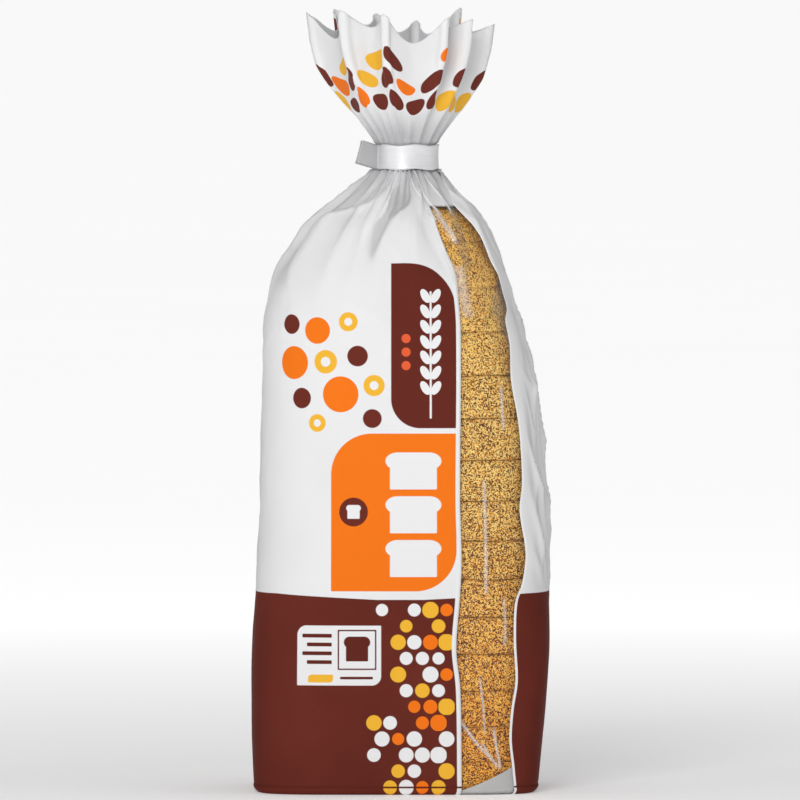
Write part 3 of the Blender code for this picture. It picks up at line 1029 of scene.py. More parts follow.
def clear_film_paint(window):
    """Clear glossy film: whitened along its creases, partly as the milkiness of creased film and partly as a
    painted glint, and milky above the loaf where it is bunched, with painted shade on that milk towards the
    neck.
    """
    paint = Paint("Clear film", Roughness=0.25, IOR=1.5)
    crease = paint.number("crease")
    cloud = paint.range(paint.noise(paint.here, 9.0, 3.0), 0.52, 0.74, 0.0, window.haze)
    milky = paint.math("MULTIPLY_ADD", crease, window.painted_crease_glint, window.haze)
    bunched = paint.range(paint.height(), (LOAF_TOP - 0.6) * MM, (LOAF_TOP + 0.2) * MM, 0.0, 0.97)
    cover = paint.union(paint.math("ADD", milky, cloud, clamp=True), bunched)
    # Painted shade: the bunched milk is darker towards the neck.
    neck_shade_share = paint.range(paint.height(), LOAF_TOP * MM, NECK_BOTTOM * MM, 0.0, 1.0)
    milk = paint.over(window.milk, shade(window.milk, 0.7), neck_shade_share)
    paint.finish(paint.over((0.93, 0.93, 0.93), milk, paint.without(bunched, crease)))
    clear = paint.add("ShaderNodeBsdfTransparent", {"Color": (0.99, 0.99, 0.985, 1.0)})
    gloss = paint.add("ShaderNodeBsdfGlossy", {"Roughness": 0.12})
    body = paint.add("ShaderNodeMixShader", {0: cover, 1: clear, 2: paint.shader.outputs[0]})
    glance = paint.range(paint.add("ShaderNodeFresnel", {"IOR": 1.3}), 0.0, 1.0, 0.0, window.gloss)
    shown = paint.add("ShaderNodeMixShader", {0: glance, 1: body, 2: gloss})
    paint.links.new(shown, paint.nodes["Material Output"].inputs["Surface"])
    bump = paint.bump(paint.noise(paint.here, 4.0, 3.0), 0.3, 0.15)
    for shader in (gloss.node, paint.shader):
        paint.links.new(bump, shader.inputs["Normal"])
    return paint.material


def tape_paint(tape):
    """Satin silvery tape with a fine grain along it, darker on the tab where its ends are pressed together,
    and with painted shade on the band near the tab's root.
    """
    paint = Paint("Satin tape", Roughness=0.42, Metallic=0.2)
    _, from_root, _ = paint.map("tape")
    grain = paint.add("ShaderNodeMapping", {"Vector": paint.here, "Scale": (1.0, 1.0, 9.0)})
    streaks = paint.noise(grain, 5.0, 4.0, 0.6)
    band = paint.ramp(streaks, (0.3, shade(tape.silver, 0.93)), (0.7, tape.silver))
    # Painted shade on the band, darkest at the tab's root.
    shaded = paint.range(from_root, -TAB_FLAT, 5.0, 0.72, 1.0)
    band = paint.tinted(band, paint.joined(shaded, shaded, shaded))
    colour = paint.over(band, shade(tape.silver, 0.66), paint.inside(from_root, -TAB_FLAT))
    return paint.finish(colour, streaks, 0.12, 0.05)


def crust_paint(loaf):
    """Grainy crust: golden meal with dark bran and pale flour, browner towards the foot, with painted light
    that makes it lighter towards the top.
    """
    paint = Paint("Bread crust", Roughness=0.78, IOR=1.45)
    grains = paint.cells(0.36, "Color")
    grain = paint.math("FRACT", paint.vector("DOT_PRODUCT", grains, (1.0, 1.0, 1.0), output=1))
    meal = paint.noise(paint.here, 0.7, 4.0, 0.75)
    broad = paint.noise(paint.here, 14.0, 3.0)
    height = paint.height()
    tone = paint.math("MULTIPLY_ADD", grain, 1.8, paint.range(meal, 0.3, 0.7, -0.74, 0.06))
    tone = paint.math("ADD", tone, paint.range(broad, 0.3, 0.7, -0.08, 0.08))
    # Painted light: the crust's tone rises towards the top.
    tone = paint.math("ADD", tone, paint.range(height, 0.1, 0.18, -0.06, 0.2))
    colour = paint.ramp(
        tone,
        (0.12, loaf.bran),
        (0.34, loaf.crust_dark),
        (0.52, loaf.crust),
        (0.70, loaf.crust_light),
        (0.92, loaf.flour),
    )
    warmth = paint.over((1.0, 1.0, 1.0), (1.0, 0.72, 0.26), paint.range(height, 0.1, 0.02, 0.0, 1.0))
    warmth = paint.over(warmth, (1.0, 0.84, 0.5), paint.range(height, 0.14, 0.19, 0.0, 0.8))
    return paint.finish(paint.tinted(colour, warmth), paint.math("ADD", grain, meal), 0.4, 0.12)


def crumb_paint(loaf):
    """Open brown crumb of the slices' cut faces."""
    paint = Paint("Bread crumb", Roughness=0.85, IOR=1.45)
    meal = paint.noise(paint.here, 0.9, 3.0, 0.6)
    tone = paint.math("MULTIPLY_ADD", paint.cells(1.7, "Distance"), -0.5, paint.math("ADD", meal, 0.35))
    colour = paint.ramp(tone, (0.2, loaf.crust_dark), (0.5, loaf.crumb), (0.85, loaf.flour))
    return paint.finish(colour, tone, 0.6, 0.4)


# Pieces

def window_edges(heights):
    """Places of the window's left and right edges at these heights."""
    return along(WINDOW_LEFT, heights)[0], along(WINDOW_RIGHT, heights)[0]


def make_printed_film(film):
    """The printed film from the foot to the neck, all round but for the window."""
    heights = row_heights(1.3, 0.75, NECK_BOTTOM + 0.8)
    left, right = window_edges(heights)
    ends = np.array([ring_places(height)[1][[0, -1]] for height in heights])
    parts = (
        right[:, None] + (ends[:, 1] - right)[:, None] * spread(*RIGHT_COLUMNS),
        ends[:, :1] + (left - ends[:, 0])[:, None] * spread(*LEFT_COLUMNS),
    )
    sheets = [film_grid(places, heights) for places in parts]
    meeting = 0.5 * (sheets[0][0][:, -1] + sheets[1][0][:, 0])
    bm = bmesh.new()
    seam = []
    for places, (points, grey), seam_column, end in zip(parts, sheets, (-1, 0), (ends[:, 1:], ends[:, :1])):
        points[:, seam_column] = meeting
        levels = levels_of(places, heights)
        maps = {
            "film": np.stack([places, levels], axis=-1),
            "borders": np.stack([places - left[:, None], places - right[:, None]], axis=-1),
            "back": np.stack([end - places, levels], axis=-1),
        }
        made = add_sheet(bm, points, maps, grey=grey)
        seam += made[seam_column % places.shape[1] :: places.shape[1]]
    bmesh.ops.remove_doubles(bm, verts=seam, dist=0.01 * MM)
    materials = [printed_film_paint(film), film_inside_paint(film)]
    finish_piece("printed_film", bm, materials, ["bread_bag"], film.thickness)


def make_clear_window(window):
    """The clear strip of film, from the foot to the neck, lapped a little under the printed film."""
    heights = row_heights(0.8, 0.5, NECK_BOTTOM + 0.6)
    left, right = window_edges(heights)
    lap = window.lap / MM
    share = np.linspace(0.0, 1.0, window.columns + 1)
    places = (left - lap)[:, None] + (right - left + 2.0 * lap)[:, None] * share
    points, white = film_grid(places, heights, WINDOW_INSET, clear=True)
    bm = bmesh.new()
    add_sheet(bm, points, {"film": np.stack([places, levels_of(places, heights)], axis=-1)}, crease=white)
    materials = [clear_film_paint(window)]
    finish_piece("clear_window", bm, materials, ["bread_bag"], window.thickness)


def frill_rim(degrees):
    """(distance from the nearest ridge in degrees, share of a valley's depth, height of the rim)."""
    valley, nearest, rim = (np.zeros_like(degrees) for _ in range(3))
    for index, (start, peak, dip) in enumerate(FRILL_RIDGES):
        end, next_peak, _ = FRILL_RIDGES[(index + 1) % len(FRILL_RIDGES)]
        gap = (end - start) % 360.0
        offset = (degrees - start) % 360.0
        here = offset < gap
        share = offset / gap
        sunk = np.sin(math.pi * np.clip(share, 0.0, 1.0)) ** FRILL_VALLEY_ROUNDNESS
        straight = peak + (next_peak - peak) * share
        valley = np.where(here, sunk, valley)
        nearest = np.where(here, np.minimum(offset, gap - offset), nearest)
        rim = np.where(here, straight + (dip - 0.5 * (peak + next_peak)) * sunk, rim)
    return nearest, valley, rim


def frill_points(degrees, shares):
    """Points of the frill's outside on a grid of angles and shares of the way up from the neck."""
    angle = np.radians(degrees)
    nearest, valley, rim = frill_rim(degrees)
    (ridge_radius,) = along(FRILL_PROFILE, np.clip(shares, 0.0, 1.0))
    opened = smooth_step(0.0, FRILL_OPENED_BY, shares)
    flat = 1.0 - NECK_HALF_DEPTH / NECK_HALF_WIDTH
    squash = 1.0 - (1.0 - opened) * flat * np.cos(angle) ** 2
    radius = ridge_radius * squash - FRILL_VALLEY_DEPTH * opened * valley
    height = NECK_TOP + (rim - NECK_TOP) * shares
    points = round_axis(NECK_CENTRE_X * (1.0 - opened), radius, angle, height)
    from_ridge = np.radians(nearest) * radius
    pleats = pleated(0.5 * FRILL_PLEATS * angle + waves_at(angle, FRILL_WAVES))
    relief = FRILL_PLEAT_RISE * pleats * (1.0 - smooth_step(0.04, 0.45, shares))
    relief *= smooth_step(-0.05, 0.06, shares)
    relief += FRILL_RIDGE_RISE * (1.0 - smooth_step(1.0, 1.7, from_ridge)) * smooth_step(0.3, 0.6, shares)
    for start, rise, size, shift in FRILL_BUMPS:
        relief += smooth_step(start, 0.6, shares) * rise * noise_at(points, size, shift)
    relief += 0.5 * bell(height, NECK_TOP + 0.5, 0.8)
    return points + normals_of(points) * relief[..., None]


def make_frill(film):
    """The open pleated frill above the tape, one thin sheet printed on its outside."""
    below = (NECK_TOP - FRILL_BOTTOM) / FRILL_HEIGHT
    neck = -below * np.linspace(1.0, 0.0, FRILL_NECK_ROWS, endpoint=False)
    rows = np.concatenate([neck, np.linspace(0.0, 1.0, FRILL_ROWS + 1)])
    degrees, shares = np.meshgrid(np.linspace(-180.0, 180.0, FRILL_COLUMNS + 1), rows)
    points = frill_points(degrees, shares)
    steps = np.linalg.norm(np.diff(points[..., :2], axis=1), axis=-1)
    walked = np.concatenate([np.zeros((len(rows), 1)), np.cumsum(steps, axis=1)], axis=1)
    across = (walked / walked[:, -1:] - 0.5) * FRILL_PRINT_WIDTH
    _, valley, _ = frill_rim(degrees)
    # Painted shade: darkest at the neck and fading upwards, and deeper in the rim's valleys.
    grey = FRILL_PAINTED_SHADE * (1.0 - smooth_step(-0.05, 0.42, shares))
    grey = grey + FRILL_VALLEY_PAINTED_SHADE * valley * smooth_step(0.2, 0.5, shares)
    bm = bmesh.new()
    made = add_sheet(bm, points, {"frill": np.stack([across, shares * FRILL_HEIGHT], axis=-1)}, grey=grey)
    seam = made[:: FRILL_COLUMNS + 1] + made[FRILL_COLUMNS :: FRILL_COLUMNS + 1]
    bmesh.ops.remove_doubles(bm, verts=seam, dist=0.1 * MM)
    materials = [frill_print_paint(film), film_inside_paint(film)]
    finish_piece("frill", bm, materials, ["bread_bag"], film.thickness)


def make_throat(film):
    """The gathered film that closes the neck inside the tape, in radial pleats round a small hollow."""
    turn = np.linspace(-math.pi, math.pi, THROAT_COLUMNS + 1)
    angle, share = np.meshgrid(turn, np.linspace(1.0, 0.0, THROAT_ROWS + 1))
    sway = angle + 0.35 * (1.0 - share) + 0.12 * np.sin(3.0 * angle + 1.0)
    pleat = np.abs(np.sin(0.5 * THROAT_PLEATS * sway))
    radius = oval_radius(angle, NECK_HALF_WIDTH + 0.05, NECK_HALF_DEPTH + 0.05, 2.0) * share
    height = NECK_TOP - THROAT_DEPTH + 3.4 * share**1.5 + THROAT_PLEAT_RISE * pleat * share * (1.0 - share)
    # Painted shade: darker towards the hollow in the middle and in the pleats' valleys.
    grey = FRILL_PAINTED_SHADE + 0.3 * (1.0 - share) + 0.3 * (1.0 - pleat) * share
    bm = bmesh.new()
    add_sheet(bm, round_axis(NECK_CENTRE_X, radius, angle, height), {}, grey=grey)
    bmesh.ops.remove_doubles(bm, verts=bm.verts, dist=0.01 * MM)
    finish_piece("throat", bm, [film_inside_paint(film)], ["bread_bag"], film.thickness)


def tape_path():
    """(plan, distance from the tab's root) of the tape: in along the tab, round the neck and out again."""
    half_width = NECK_HALF_WIDTH + TAPE_OFF_NECK
    half_depth = NECK_HALF_DEPTH + TAPE_OFF_NECK
    root = math.radians(TAB_ROOT_DEG)
    gap = math.asin(TAB_HALF_GAP / half_depth)
    angles = np.linspace(root + gap, root + 2.0 * math.pi - gap, int(TAPE_ROUND / TAPE_SPACING))
    radius = oval_radius(angles, half_width, half_depth, 2.0)
    band = np.stack([NECK_CENTRE_X + radius * np.sin(angles), -radius * np.cos(angles)], axis=-1)
    lean = root - math.radians(TAB_TURN_DEG)
    reach = np.array([math.sin(lean), -math.cos(lean)]) * TAB_LENGTH
    steps = np.linspace(0.0, 1.0, int(TAB_LENGTH / TAPE_SPACING), endpoint=False)[:, None]
    path = np.concatenate([band[0] + reach * (1.0 - steps), band, band[-1] + reach * (1.0 - steps[::-1])])
    walked = np.concatenate([[0.0], np.cumsum(np.hypot(*np.diff(path, axis=0).T))])
    return path, np.minimum(walked, walked[-1] - walked) - TAB_LENGTH


def make_closing_tape(tape):
    """The tape round the neck, its two ends pressed together into a tab that points a little upwards."""
    path, from_root = tape_path()
    share, from_root = np.meshgrid(np.linspace(0.0, 1.0, TAPE_ROWS), from_root, indexing="ij")
    lifted = np.clip((-from_root - TAB_FLAT) / (TAB_LENGTH - TAB_FLAT), 0.0, 1.0)
    height = TAPE_BOTTOM + (TAPE_TOP - TAPE_BOTTOM) * share
    middle = 0.5 * (TAPE_BOTTOM + TAPE_TOP)
    height = middle + (height - middle) * (1.0 - TAB_NARROWING * lifted) + tape.tab_lift / MM * lifted
    height += TAPE_WAVE * np.sin(0.55 * from_root) * smooth_step(0.0, 4.0, from_root)
    x, y = (np.tile(column, (TAPE_ROWS, 1)) for column in path.T)
    points = np.stack([x, y, height], axis=-1)
    bow = TAPE_BOW * (2.0 * share - 1.0) ** 4
    dents = layered(noise_at, squashed(points, 0.4), [TAPE_DENTS]) * (1.0 - lifted)
    points = points + normals_of(points) * (bow + dents)[..., None]
    facing = math.radians(TAB_ROOT_DEG - TAB_TURN_DEG + 90.0)
    forward = np.array([math.sin(facing), -math.cos(facing), 0.0])
    points = points + forward * (tape.tab_twist / MM * (share - 0.5) * lifted)[..., None]
    bm = bmesh.new()
    add_sheet(bm, points, {"tape": np.stack([from_root, height], axis=-1)})
    finish_piece("satin_tape", bm, [tape_paint(tape)], ["closure_tape"], tape.thickness)


def slice_heights(loaf):
    """Heights between the slices, from the loaf's foot to its top. The slices grow thicker upwards."""
    cuts = [LOAF_BOTTOM, LOAF_BOTTOM + loaf.heel / MM]
    for index in range(loaf.slices - 2):
        cuts.append(cuts[-1] + loaf.slice_thickness / MM + loaf.slice_growth / MM * index)
    return cuts[:-1] + [min(cuts[-1], LOAF_TOP - CROWN_SLICE), LOAF_TOP]


def loaf_points(flat, bottom, top, cut_low, cut_high):
    """Where a unit drum's points go on one slice, in mm. Its columns are closest in the window."""
    distance = np.hypot(flat[:, 0], flat[:, 1])
    turn = np.arctan2(flat[:, 0], -flat[:, 1]) / math.pi
    window_turn = LOAF_WINDOW_PLACE / HALF_FILM
    share = turn - LOAF_CROWDING / math.pi * np.sin(math.pi * (turn - window_turn))
    angles, ring = ring_places(0.5 * (bottom + top))
    half = 0.5 * (ring[-1] - ring[0])
    middle = 0.5 * (ring[-1] + ring[0])
    angle = np.interp(middle + (share * half + half - middle) % (2.0 * half) - half, ring, angles)
    place = np.interp(angle, angles, ring)
    height = bottom + (top - bottom) * flat[:, 2]
    centre_x, half_width, half_depth, squareness = along(BAG_STATIONS, height)
    inset = LOAF_INSET + LOAF_UPPER_INSET * smooth_step(*LOAF_INSET_RISE, height)
    outline = oval_radius(angle, half_width, half_depth, squareness)
    film = bag_points(angle, height)
    film_radius = np.hypot(film[:, 0] - centre_x, film[:, 1])
    relief = film_relief(place, place * HALF_FILM / half, angle, height, film)
    over_low_edge = smooth_step(2.0, BASE_EDGE_RADIUS + 2.0, height)
    pressed = np.minimum(0.0, (film_radius - outline) * over_low_edge + relief + inset - FILM_CLEARANCE)
    radius = oval_radius(angle, half_width - inset, half_depth - inset, squareness) + pressed
    for edge, rounding in ((height - bottom, cut_low), (top - height, cut_high)):
        drop = np.clip(rounding - edge, 0.0, rounding)
        radius = radius - rounding + np.sqrt(rounding**2 - drop**2)
    points = round_axis(centre_x, radius, angle, height)
    side = distance > 0.995
    push = np.where(side, layered(noise_at, points, CRUST_BUMPS) - CRUST_SINK, 0.0)
    points = points + round_axis(0.0, 1.0, angle, np.zeros_like(angle)) * push[:, None]
    points[:, 0] = centre_x + (points[:, 0] - centre_x) * distance
    points[:, 1] *= distance
    crumb = np.where(side, 0.0, 0.12 * noise_at(points, 2.4, 0.9))
    points[:, 2] += crumb + 0.5 * noise_at(squashed(points, 0.2), 9.0, 3.3)
    return points


def loaf_drum(rows):
    """A closed drum, 1 mm in radius and height before it is shaped, with rings of faces on its ends."""
    bm = bmesh.new()
    bmesh.ops.create_cone(bm, cap_ends=True, segments=LOAF_COLUMNS, radius1=1.0, radius2=1.0, depth=1.0)
    bmesh.ops.translate(bm, vec=(0.0, 0.0, 0.5), verts=bm.verts)
    uprights = [edge for edge in bm.edges if abs(edge.verts[0].co.z - edge.verts[1].co.z) > 0.5]
    bmesh.ops.subdivide_edges(bm, edges=uprights, cuts=rows)
    caps = [face for face in bm.faces if len(face.verts) > 4]
    for thickness in DRUM_RINGS:
        bmesh.ops.inset_individual(bm, faces=caps, thickness=thickness, use_even_offset=False)
    bmesh.ops.poke(bm, faces=caps)
    drum = bpy.data.meshes.new("Drum")
    bm.to_mesh(drum)
    bm.free()
    return drum


def make_sliced_loaf(loaf):
    """The sliced loaf inside the bag: rounded slabs with a grainy crust that follow the bag's outline."""
    drum = loaf_drum(loaf.rows)
    flat = np.array([vert.co[:] for vert in drum.vertices])
    cuts = slice_heights(loaf)
    last = len(cuts) - 2
    dice = np.random.default_rng(SPECKLE_SEED)
    bm = bmesh.new()
    for index, (bottom, top) in enumerate(zip(cuts, cuts[1:])):
        first_vert, first_face = len(bm.verts), len(bm.faces)
        bm.from_mesh(drum)
        bm.verts.ensure_lookup_table()
        bm.faces.ensure_lookup_table()
        tight = TIGHT_SHARE if bottom > TIGHT_CUTS_ABOVE else 1.0
        gap = 0.5 * loaf.cut_gap / MM * tight
        low_round = (loaf.heel_rounding if index == 0 else loaf.cut_rounding * tight) / MM
        high_round = (loaf.crown_rounding if index == last else loaf.cut_rounding * tight) / MM
        points = loaf_points(flat, bottom + gap, top - gap, low_round, high_round)
        points[:, :2] += dice.uniform(-SLICE_SHIFT, SLICE_SHIFT, 2) * tight
        for vert, point in zip(bm.verts[first_vert:], points * MM):
            vert.co = point
        for face in bm.faces[first_face:]:
            face.normal_update()
            outer_end = (index == 0 and face.normal.z < 0.0) or (index == last and face.normal.z > 0.0)
            face.material_index = 1 if abs(face.normal.z) > 0.97 and not outer_end else 0
    bpy.data.meshes.remove(drum)
    finish_piece("sliced_loaf", bm, [crust_paint(loaf), crumb_paint(loaf)], ["bread_bag"])


def film_spot(place, height, inset):
    """One point on the film, in mm, this far inside it."""
    angles, ring = ring_places(height)
    angle = np.interp(place, ring, angles)
    x, y, z = bag_points(np.array([angle]), np.array([height]))[0]
    return (x - inset * math.sin(angle), y + inset * math.cos(angle), z)


def make_gusset_fold(film):
    """The corner of the foot's fold that shows inside the window's lower end."""
    points = np.zeros((GUSSET_ROWS + 1, GUSSET_COLUMNS + 1, 3))
    for row, column in np.ndindex(points.shape[:2]):
        share = column / GUSSET_COLUMNS
        top = GUSSET_LOW_TOP + GUSSET_RISE * share**1.25
        height = GUSSET_BOTTOM + (top - GUSSET_BOTTOM) * row / GUSSET_ROWS
        inset = GUSSET_INSET + 0.12 * math.sin(9.0 * share + 0.5 * row)
        points[row, column] = film_spot(GUSSET_LEFT + GUSSET_WIDTH * share, height, inset)
    bm = bmesh.new()
    # Painted shade over the whole fold.
    add_sheet(bm, points, {}, grey=np.full(points.shape[:2], GUSSET_PAINTED_SHADE))
    materials = [film_inside_paint(film)]
    finish_piece("gusset_fold", bm, materials, ["bread_bag"], film.thickness)


def make_foot_folds(film):
    """The flat underside: film drawn in over the foot, with two tucked ends under a welded flap."""
    bm = bmesh.new()
    made = bmesh.ops.create_circle(bm, cap_ends=True, segments=120, radius=1.0)["verts"]
    cap = list({face for vert in made for face in vert.link_faces})
    for thickness in FOOT_RINGS:
        bmesh.ops.inset_region(bm, faces=cap, thickness=thickness, use_even_offset=False)
    bmesh.ops.poke(bm, faces=cap)
    centre_x, half_width, half_depth, squareness = (column[0] for column in along(BAG_STATIONS, [0.0]))
    for vert in bm.verts:
        x, y, _ = vert.co
        reach = math.hypot(x, y)
        angle = math.atan2(x, -y)
        edge = oval_radius(angle, half_width, half_depth, squareness) - BASE_EDGE_RADIUS + 0.06
        level = FOOT_LEVEL if reach < 0.97 else FOOT_CLEARANCE
        vert.co = Vector(round_axis(centre_x, edge * reach, angle, level)) * MM
    for width, depth, place, level in FOOT_FLAPS:
        flap = bmesh.ops.create_cube(bm, size=1.0)["verts"]
        bmesh.ops.scale(bm, vec=(width * MM, depth * MM, FLAP_THICKNESS * MM), verts=flap)
        bmesh.ops.translate(bm, vec=(place * MM, 0.0, level * MM), verts=flap)
    bmesh.ops.recalc_face_normals(bm, faces=bm.faces)
    finish_piece("foot_folds", bm, [film_inside_paint(film)], ["bread_bag"])


# Settings, operators and panel

def length_setting(name, description, millimetres):
    """A length property, its default given in millimetres."""
    return FloatProperty(name=name, description=description, default=millimetres * MM, unit="LENGTH")


def share_setting(name, description, share):
    """A property from 0 to 1."""
    return FloatProperty(name=name, description=description, default=share, min=0.0, max=1.0)


def power_setting(name, description, watts):
    """A light's power."""
    return FloatProperty(name=name, description=description, default=watts, unit="POWER")


def count_setting(name, description, count, least):
    """A whole number."""
    return IntProperty(name=name, description=description, default=count, min=least)


def colour_setting(name, description, *values):
    """A colour property, its default given as sRGB from 0 to 255."""
    looks = {"default": linear(*values), "subtype": "COLOR", "size": 3, "min": 0.0, "max": 1.0}
    return FloatVectorProperty(name=name, description=description, **looks)


class FilmSettings(bpy.types.PropertyGroup):
    """The printed film."""

    thickness: length_setting("Thickness", "Thickness of the bag's film", 0.08)
    white: colour_setting("White", "White of the film", 232, 232, 233)
    brown: colour_setting("Brown", "Brown of the base and the upper panel", 107, 48, 39)
    orange: colour_setting("Orange", "Orange of the middle panel", 241, 119, 31)
    yellow: colour_setting("Yellow", "Yellow of the small dots", 238, 181, 58)
    red: colour_setting("Red", "Red of the three beads", 226, 96, 58)


class WindowSettings(bpy.types.PropertyGroup):
    """The clear strip."""

    thickness: length_setting("Thickness", "Thickness of the clear strip", 0.05)
    lap: length_setting("Lap", "How far the clear strip reaches under the print", 1.5)
    columns: count_setting("Columns", "Faces across the strip", 70, 8)
    milk: colour_setting("Milk", "Grey of the clear film where it is bunched", 218, 218, 220)
    gloss: share_setting("Gloss", "Strength of the film's reflections", 0.3)
    haze: share_setting("Haze", "Milkiness of the film", 0.008)
    # A crease's whitening is partly the milkiness of creased film and partly a painted glint.
    painted_crease_glint: share_setting("Crease white", "Milkiness of a crease", 0.95)


class TapeSettings(bpy.types.PropertyGroup):
    """The closing tape."""

    thickness: length_setting("Thickness", "Thickness of the tape", 0.3)
    silver: colour_setting("Silver", "Pale silver of the tape", 224, 224, 226)
    tab_lift: length_setting("Tab lift", "How much higher the tab's end is than its root", 1.9)
    tab_twist: length_setting("Tab twist", "How far the tab's upper edge leans out over the lower", 3.0)


class LoafSettings(bpy.types.PropertyGroup):
    """The sliced loaf."""

    slices: count_setting("Slices", "Number of slices, both heels included", 15, 3)
    heel: length_setting("Heel", "Thickness of the lowest slice", 10.0)
    slice_thickness: length_setting("Slice", "Thickness of the thinnest cut slice", 11.85)
    slice_growth: length_setting("Growth", "How much thicker each slice is than the one below", 0.29)
    cut_gap: length_setting("Cut gap", "Gap between two slices", 0.22)
    cut_rounding: length_setting("Cut rounding", "Rounding of a slice's crust edge", 0.6)
    heel_rounding: length_setting("Heel rounding", "Rounding of the loaf's lower end", 3.0)
    crown_rounding: length_setting("Crown rounding", "Rounding of the loaf's upper end", 5.0)
    rows: count_setting("Rows", "Cuts up each slice's crust", 10, 2)
    bran: colour_setting("Bran", "Darkest specks", 92, 46, 8)
    crust_dark: colour_setting("Dark crust", "Browned meal", 184, 116, 30)
    crust: colour_setting("Crust", "Middle of the crust", 234, 162, 54)
    crust_light: colour_setting("Light crust", "Golden meal", 250, 190, 78)
    flour: colour_setting("Flour", "Palest specks", 255, 220, 134)
    crumb: colour_setting("Crumb", "Cut faces", 240, 192, 116)


class StageSettings(bpy.types.PropertyGroup):
    """Camera, lights and floor."""

    lens: FloatProperty(name="Lens", description="Focal length", default=600.0, unit="CAMERA")
    tilt: FloatProperty(
        name="Tilt", description="Camera's angle over the horizon", default=math.radians(2.0), subtype="ANGLE"
    )
    view_width: length_setting("View width", "Width that the picture shows at the bag", 273.4)
    aim_x: length_setting("Aim across", "Place across the bag at the picture's middle", -0.17)
    aim_z: length_setting("Aim up", "Height at the picture's middle", 133.35)
    world: FloatProperty(name="World", description="Strength of the even light", default=0.3, min=0.0)
    key: power_setting("Key", "Large light in front and above", 13.5)
    fill: power_setting("Fill", "Light above at the right", 0.9)
    top: power_setting("Top", "Light overhead", 1.0)


def add_light(name, place, size, power):
    """A soft square light at a place, in metres, that points at the bag's middle."""
    light = bpy.data.lights.new(name, "AREA")
    light.size = size
    light.energy = power
    lamp = bpy.data.objects.new(name, light)
    lamp.location = place
    lamp.rotation_mode = "QUATERNION"
    lamp.rotation_quaternion = (Vector((0.0, 0.0, 0.13)) - Vector(place)).to_track_quat("-Z", "Y")
    bpy.context.scene.collection.objects.link(lamp)


def floor_paint():
    """Plain pale floor that stays light far from the lamps."""
    paint = Paint("Pale floor", Roughness=0.75, IOR=1.4, Emission_Color=(1.0, 1.0, 1.0, 1.0))
    glow = paint.range(paint.vector("LENGTH", paint.here, output=1), 0.15, 1.1, 0.25, 0.67)
    paint.feed(paint.shader.inputs["Emission Strength"], glow)
    return paint.finish(paint.ramp(paint.noise(paint.here, 400.0), (0.3, (0.90,) * 3), (0.7, (0.92,) * 3)))


def set_stage(stage):
    """Floor, world, lights and the camera at the photograph's viewing angle."""
    scene = bpy.context.scene
    scene.view_settings.view_transform = "Standard"
    bm = bmesh.new()
    bmesh.ops.create_grid(bm, x_segments=4, y_segments=4, size=60.0)
    bmesh.ops.translate(bm, vec=(0.0, 0.0, -0.03 * MM), verts=bm.verts)
    mesh = bpy.data.meshes.new("pale_floor")
    bm.to_mesh(mesh)
    bm.free()
    mesh.materials.append(floor_paint())
    floor = bpy.data.objects.new("pale_floor", mesh)
    scene.collection.objects.link(floor)

    scene.world = bpy.data.worlds.new("Even light")
    scene.world.use_nodes = True
    background = scene.world.node_tree.nodes["Background"]
    background.inputs["Color"].default_value = (1.0, 1.0, 1.0, 1.0)
    background.inputs["Strength"].default_value = stage.world
    add_light("Key light", (-0.35, -1.55, 0.7), 0.6, stage.key)
    add_light("Fill light", (1.1, -0.35, 0.95), 0.7, stage.fill)
    add_light("Top light", (0.1, 0.25, 1.25), 0.8, stage.top)

    camera = bpy.data.cameras.new("Camera")
    camera.lens = stage.lens
    camera.clip_end = 500.0
    eye = bpy.data.objects.new("Camera", camera)
    distance = stage.lens / camera.sensor_width * stage.view_width + 0.02
    back = Vector((0.0, -math.cos(stage.tilt), math.sin(stage.tilt)))
    eye.location = Vector((stage.aim_x, 0.0, stage.aim_z)) + back * distance
    eye.rotation_euler = (math.radians(90.0) - stage.tilt, 0.0, 0.0)
    scene.collection.objects.link(eye)
    scene.camera = eye


class BREADBAG_OT_stage(bpy.types.Operator):
    """Sets the floor, the lights and the camera"""

    bl_idname = "breadbag.stage"
    bl_label = "Stage"

    def execute(self, context):
        set_stage(context.scene.bread_bag_stage)
        return {"FINISHED"}


class BREADBAG_OT_sliced_loaf(bpy.types.Operator):
    """Makes the sliced loaf"""

    bl_idname = "breadbag.sliced_loaf"
    bl_label = "Sliced loaf"

    def execute(self, context):
        make_sliced_loaf(context.scene.bread_bag_loaf)
        return {"FINISHED"}


class BREADBAG_OT_printed_film(bpy.types.Operator):
    """Makes the printed film round the loaf"""

    bl_idname = "breadbag.printed_film"
    bl_label = "Printed film"

    def execute(self, context):
        make_printed_film(context.scene.bread_bag_film)
        return {"FINISHED"}


class BREADBAG_OT_clear_window(bpy.types.Operator):
    """Makes the clear strip that shows the loaf"""

    bl_idname = "breadbag.clear_window"
    bl_label = "Clear window"

    def execute(self, context):
        make_clear_window(context.scene.bread_bag_window)
        return {"FINISHED"}


class BREADBAG_OT_frill(bpy.types.Operator):
    """Makes the open frill above the tape and the gathered film in its throat"""

    bl_idname = "breadbag.frill"
    bl_label = "Frill"

    def execute(self, context):
        make_frill(context.scene.bread_bag_film)
        make_throat(context.scene.bread_bag_film)
        return {"FINISHED"}


class BREADBAG_OT_closing_tape(bpy.types.Operator):
    """Makes the tape round the neck"""

    bl_idname = "breadbag.closing_tape"
    bl_label = "Closing tape"

    def execute(self, context):
        make_closing_tape(context.scene.bread_bag_tape)
        return {"FINISHED"}


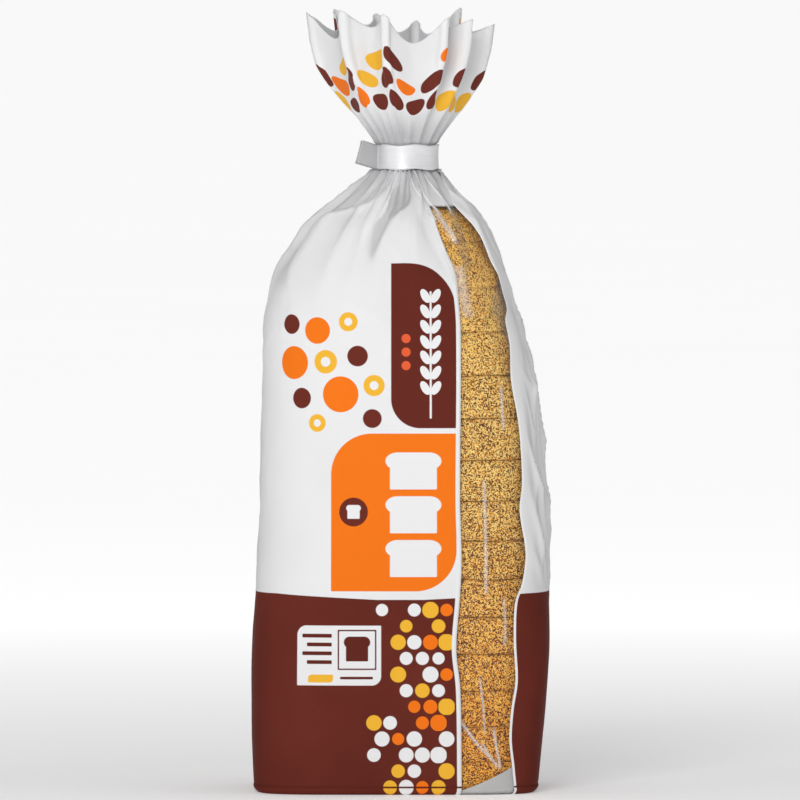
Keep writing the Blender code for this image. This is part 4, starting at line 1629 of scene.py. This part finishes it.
class BREADBAG_OT_foot(bpy.types.Operator):
    """Makes the folds at the foot"""

    bl_idname = "breadbag.foot"
    bl_label = "Foot folds"

    def execute(self, context):
        make_gusset_fold(context.scene.bread_bag_film)
        make_foot_folds(context.scene.bread_bag_film)
        return {"FINISHED"}


OPERATORS = (
    BREADBAG_OT_stage,
    BREADBAG_OT_sliced_loaf,
    BREADBAG_OT_printed_film,
    BREADBAG_OT_clear_window,
    BREADBAG_OT_frill,
    BREADBAG_OT_closing_tape,
    BREADBAG_OT_foot,
)
SETTINGS = {
    "bread_bag_film": FilmSettings,
    "bread_bag_window": WindowSettings,
    "bread_bag_tape": TapeSettings,
    "bread_bag_loaf": LoafSettings,
    "bread_bag_stage": StageSettings,
}


class BREADBAG_PT_panel(bpy.types.Panel):
    """Lists the pieces of the bread bag"""

    bl_idname = "BREADBAG_PT_panel"
    bl_label = "Bread bag"
    bl_space_type = "VIEW_3D"
    bl_region_type = "UI"
    bl_category = "Bread bag"

    def draw(self, context):
        for operator in OPERATORS:
            self.layout.operator(operator.bl_idname)
        for name, group in SETTINGS.items():
            box = self.layout.box()
            box.label(text=group.__doc__)
            for setting in group.__annotations__:
                box.prop(getattr(context.scene, name), setting)


def register():
    """Registers the settings, the operators and the panel."""
    for name, group in SETTINGS.items():
        bpy.utils.register_class(group)
        setattr(bpy.types.Scene, name, PointerProperty(type=group))
    for operator in OPERATORS:
        bpy.utils.register_class(operator)
    bpy.utils.register_class(BREADBAG_PT_panel)


def unregister():
    """Removes what register added."""
    bpy.utils.unregister_class(BREADBAG_PT_panel)
    for operator in reversed(OPERATORS):
        bpy.utils.unregister_class(operator)
    for name, group in reversed(SETTINGS.items()):
        delattr(bpy.types.Scene, name)
        bpy.utils.unregister_class(group)


def main():
    """Makes every piece in order."""
    register()
    bpy.ops.breadbag.stage()
    bpy.ops.breadbag.sliced_loaf()
    bpy.ops.breadbag.printed_film()
    bpy.ops.breadbag.clear_window()
    bpy.ops.breadbag.frill()
    bpy.ops.breadbag.closing_tape()
    bpy.ops.breadbag.foot()


if __name__ == "__main__":
    main()
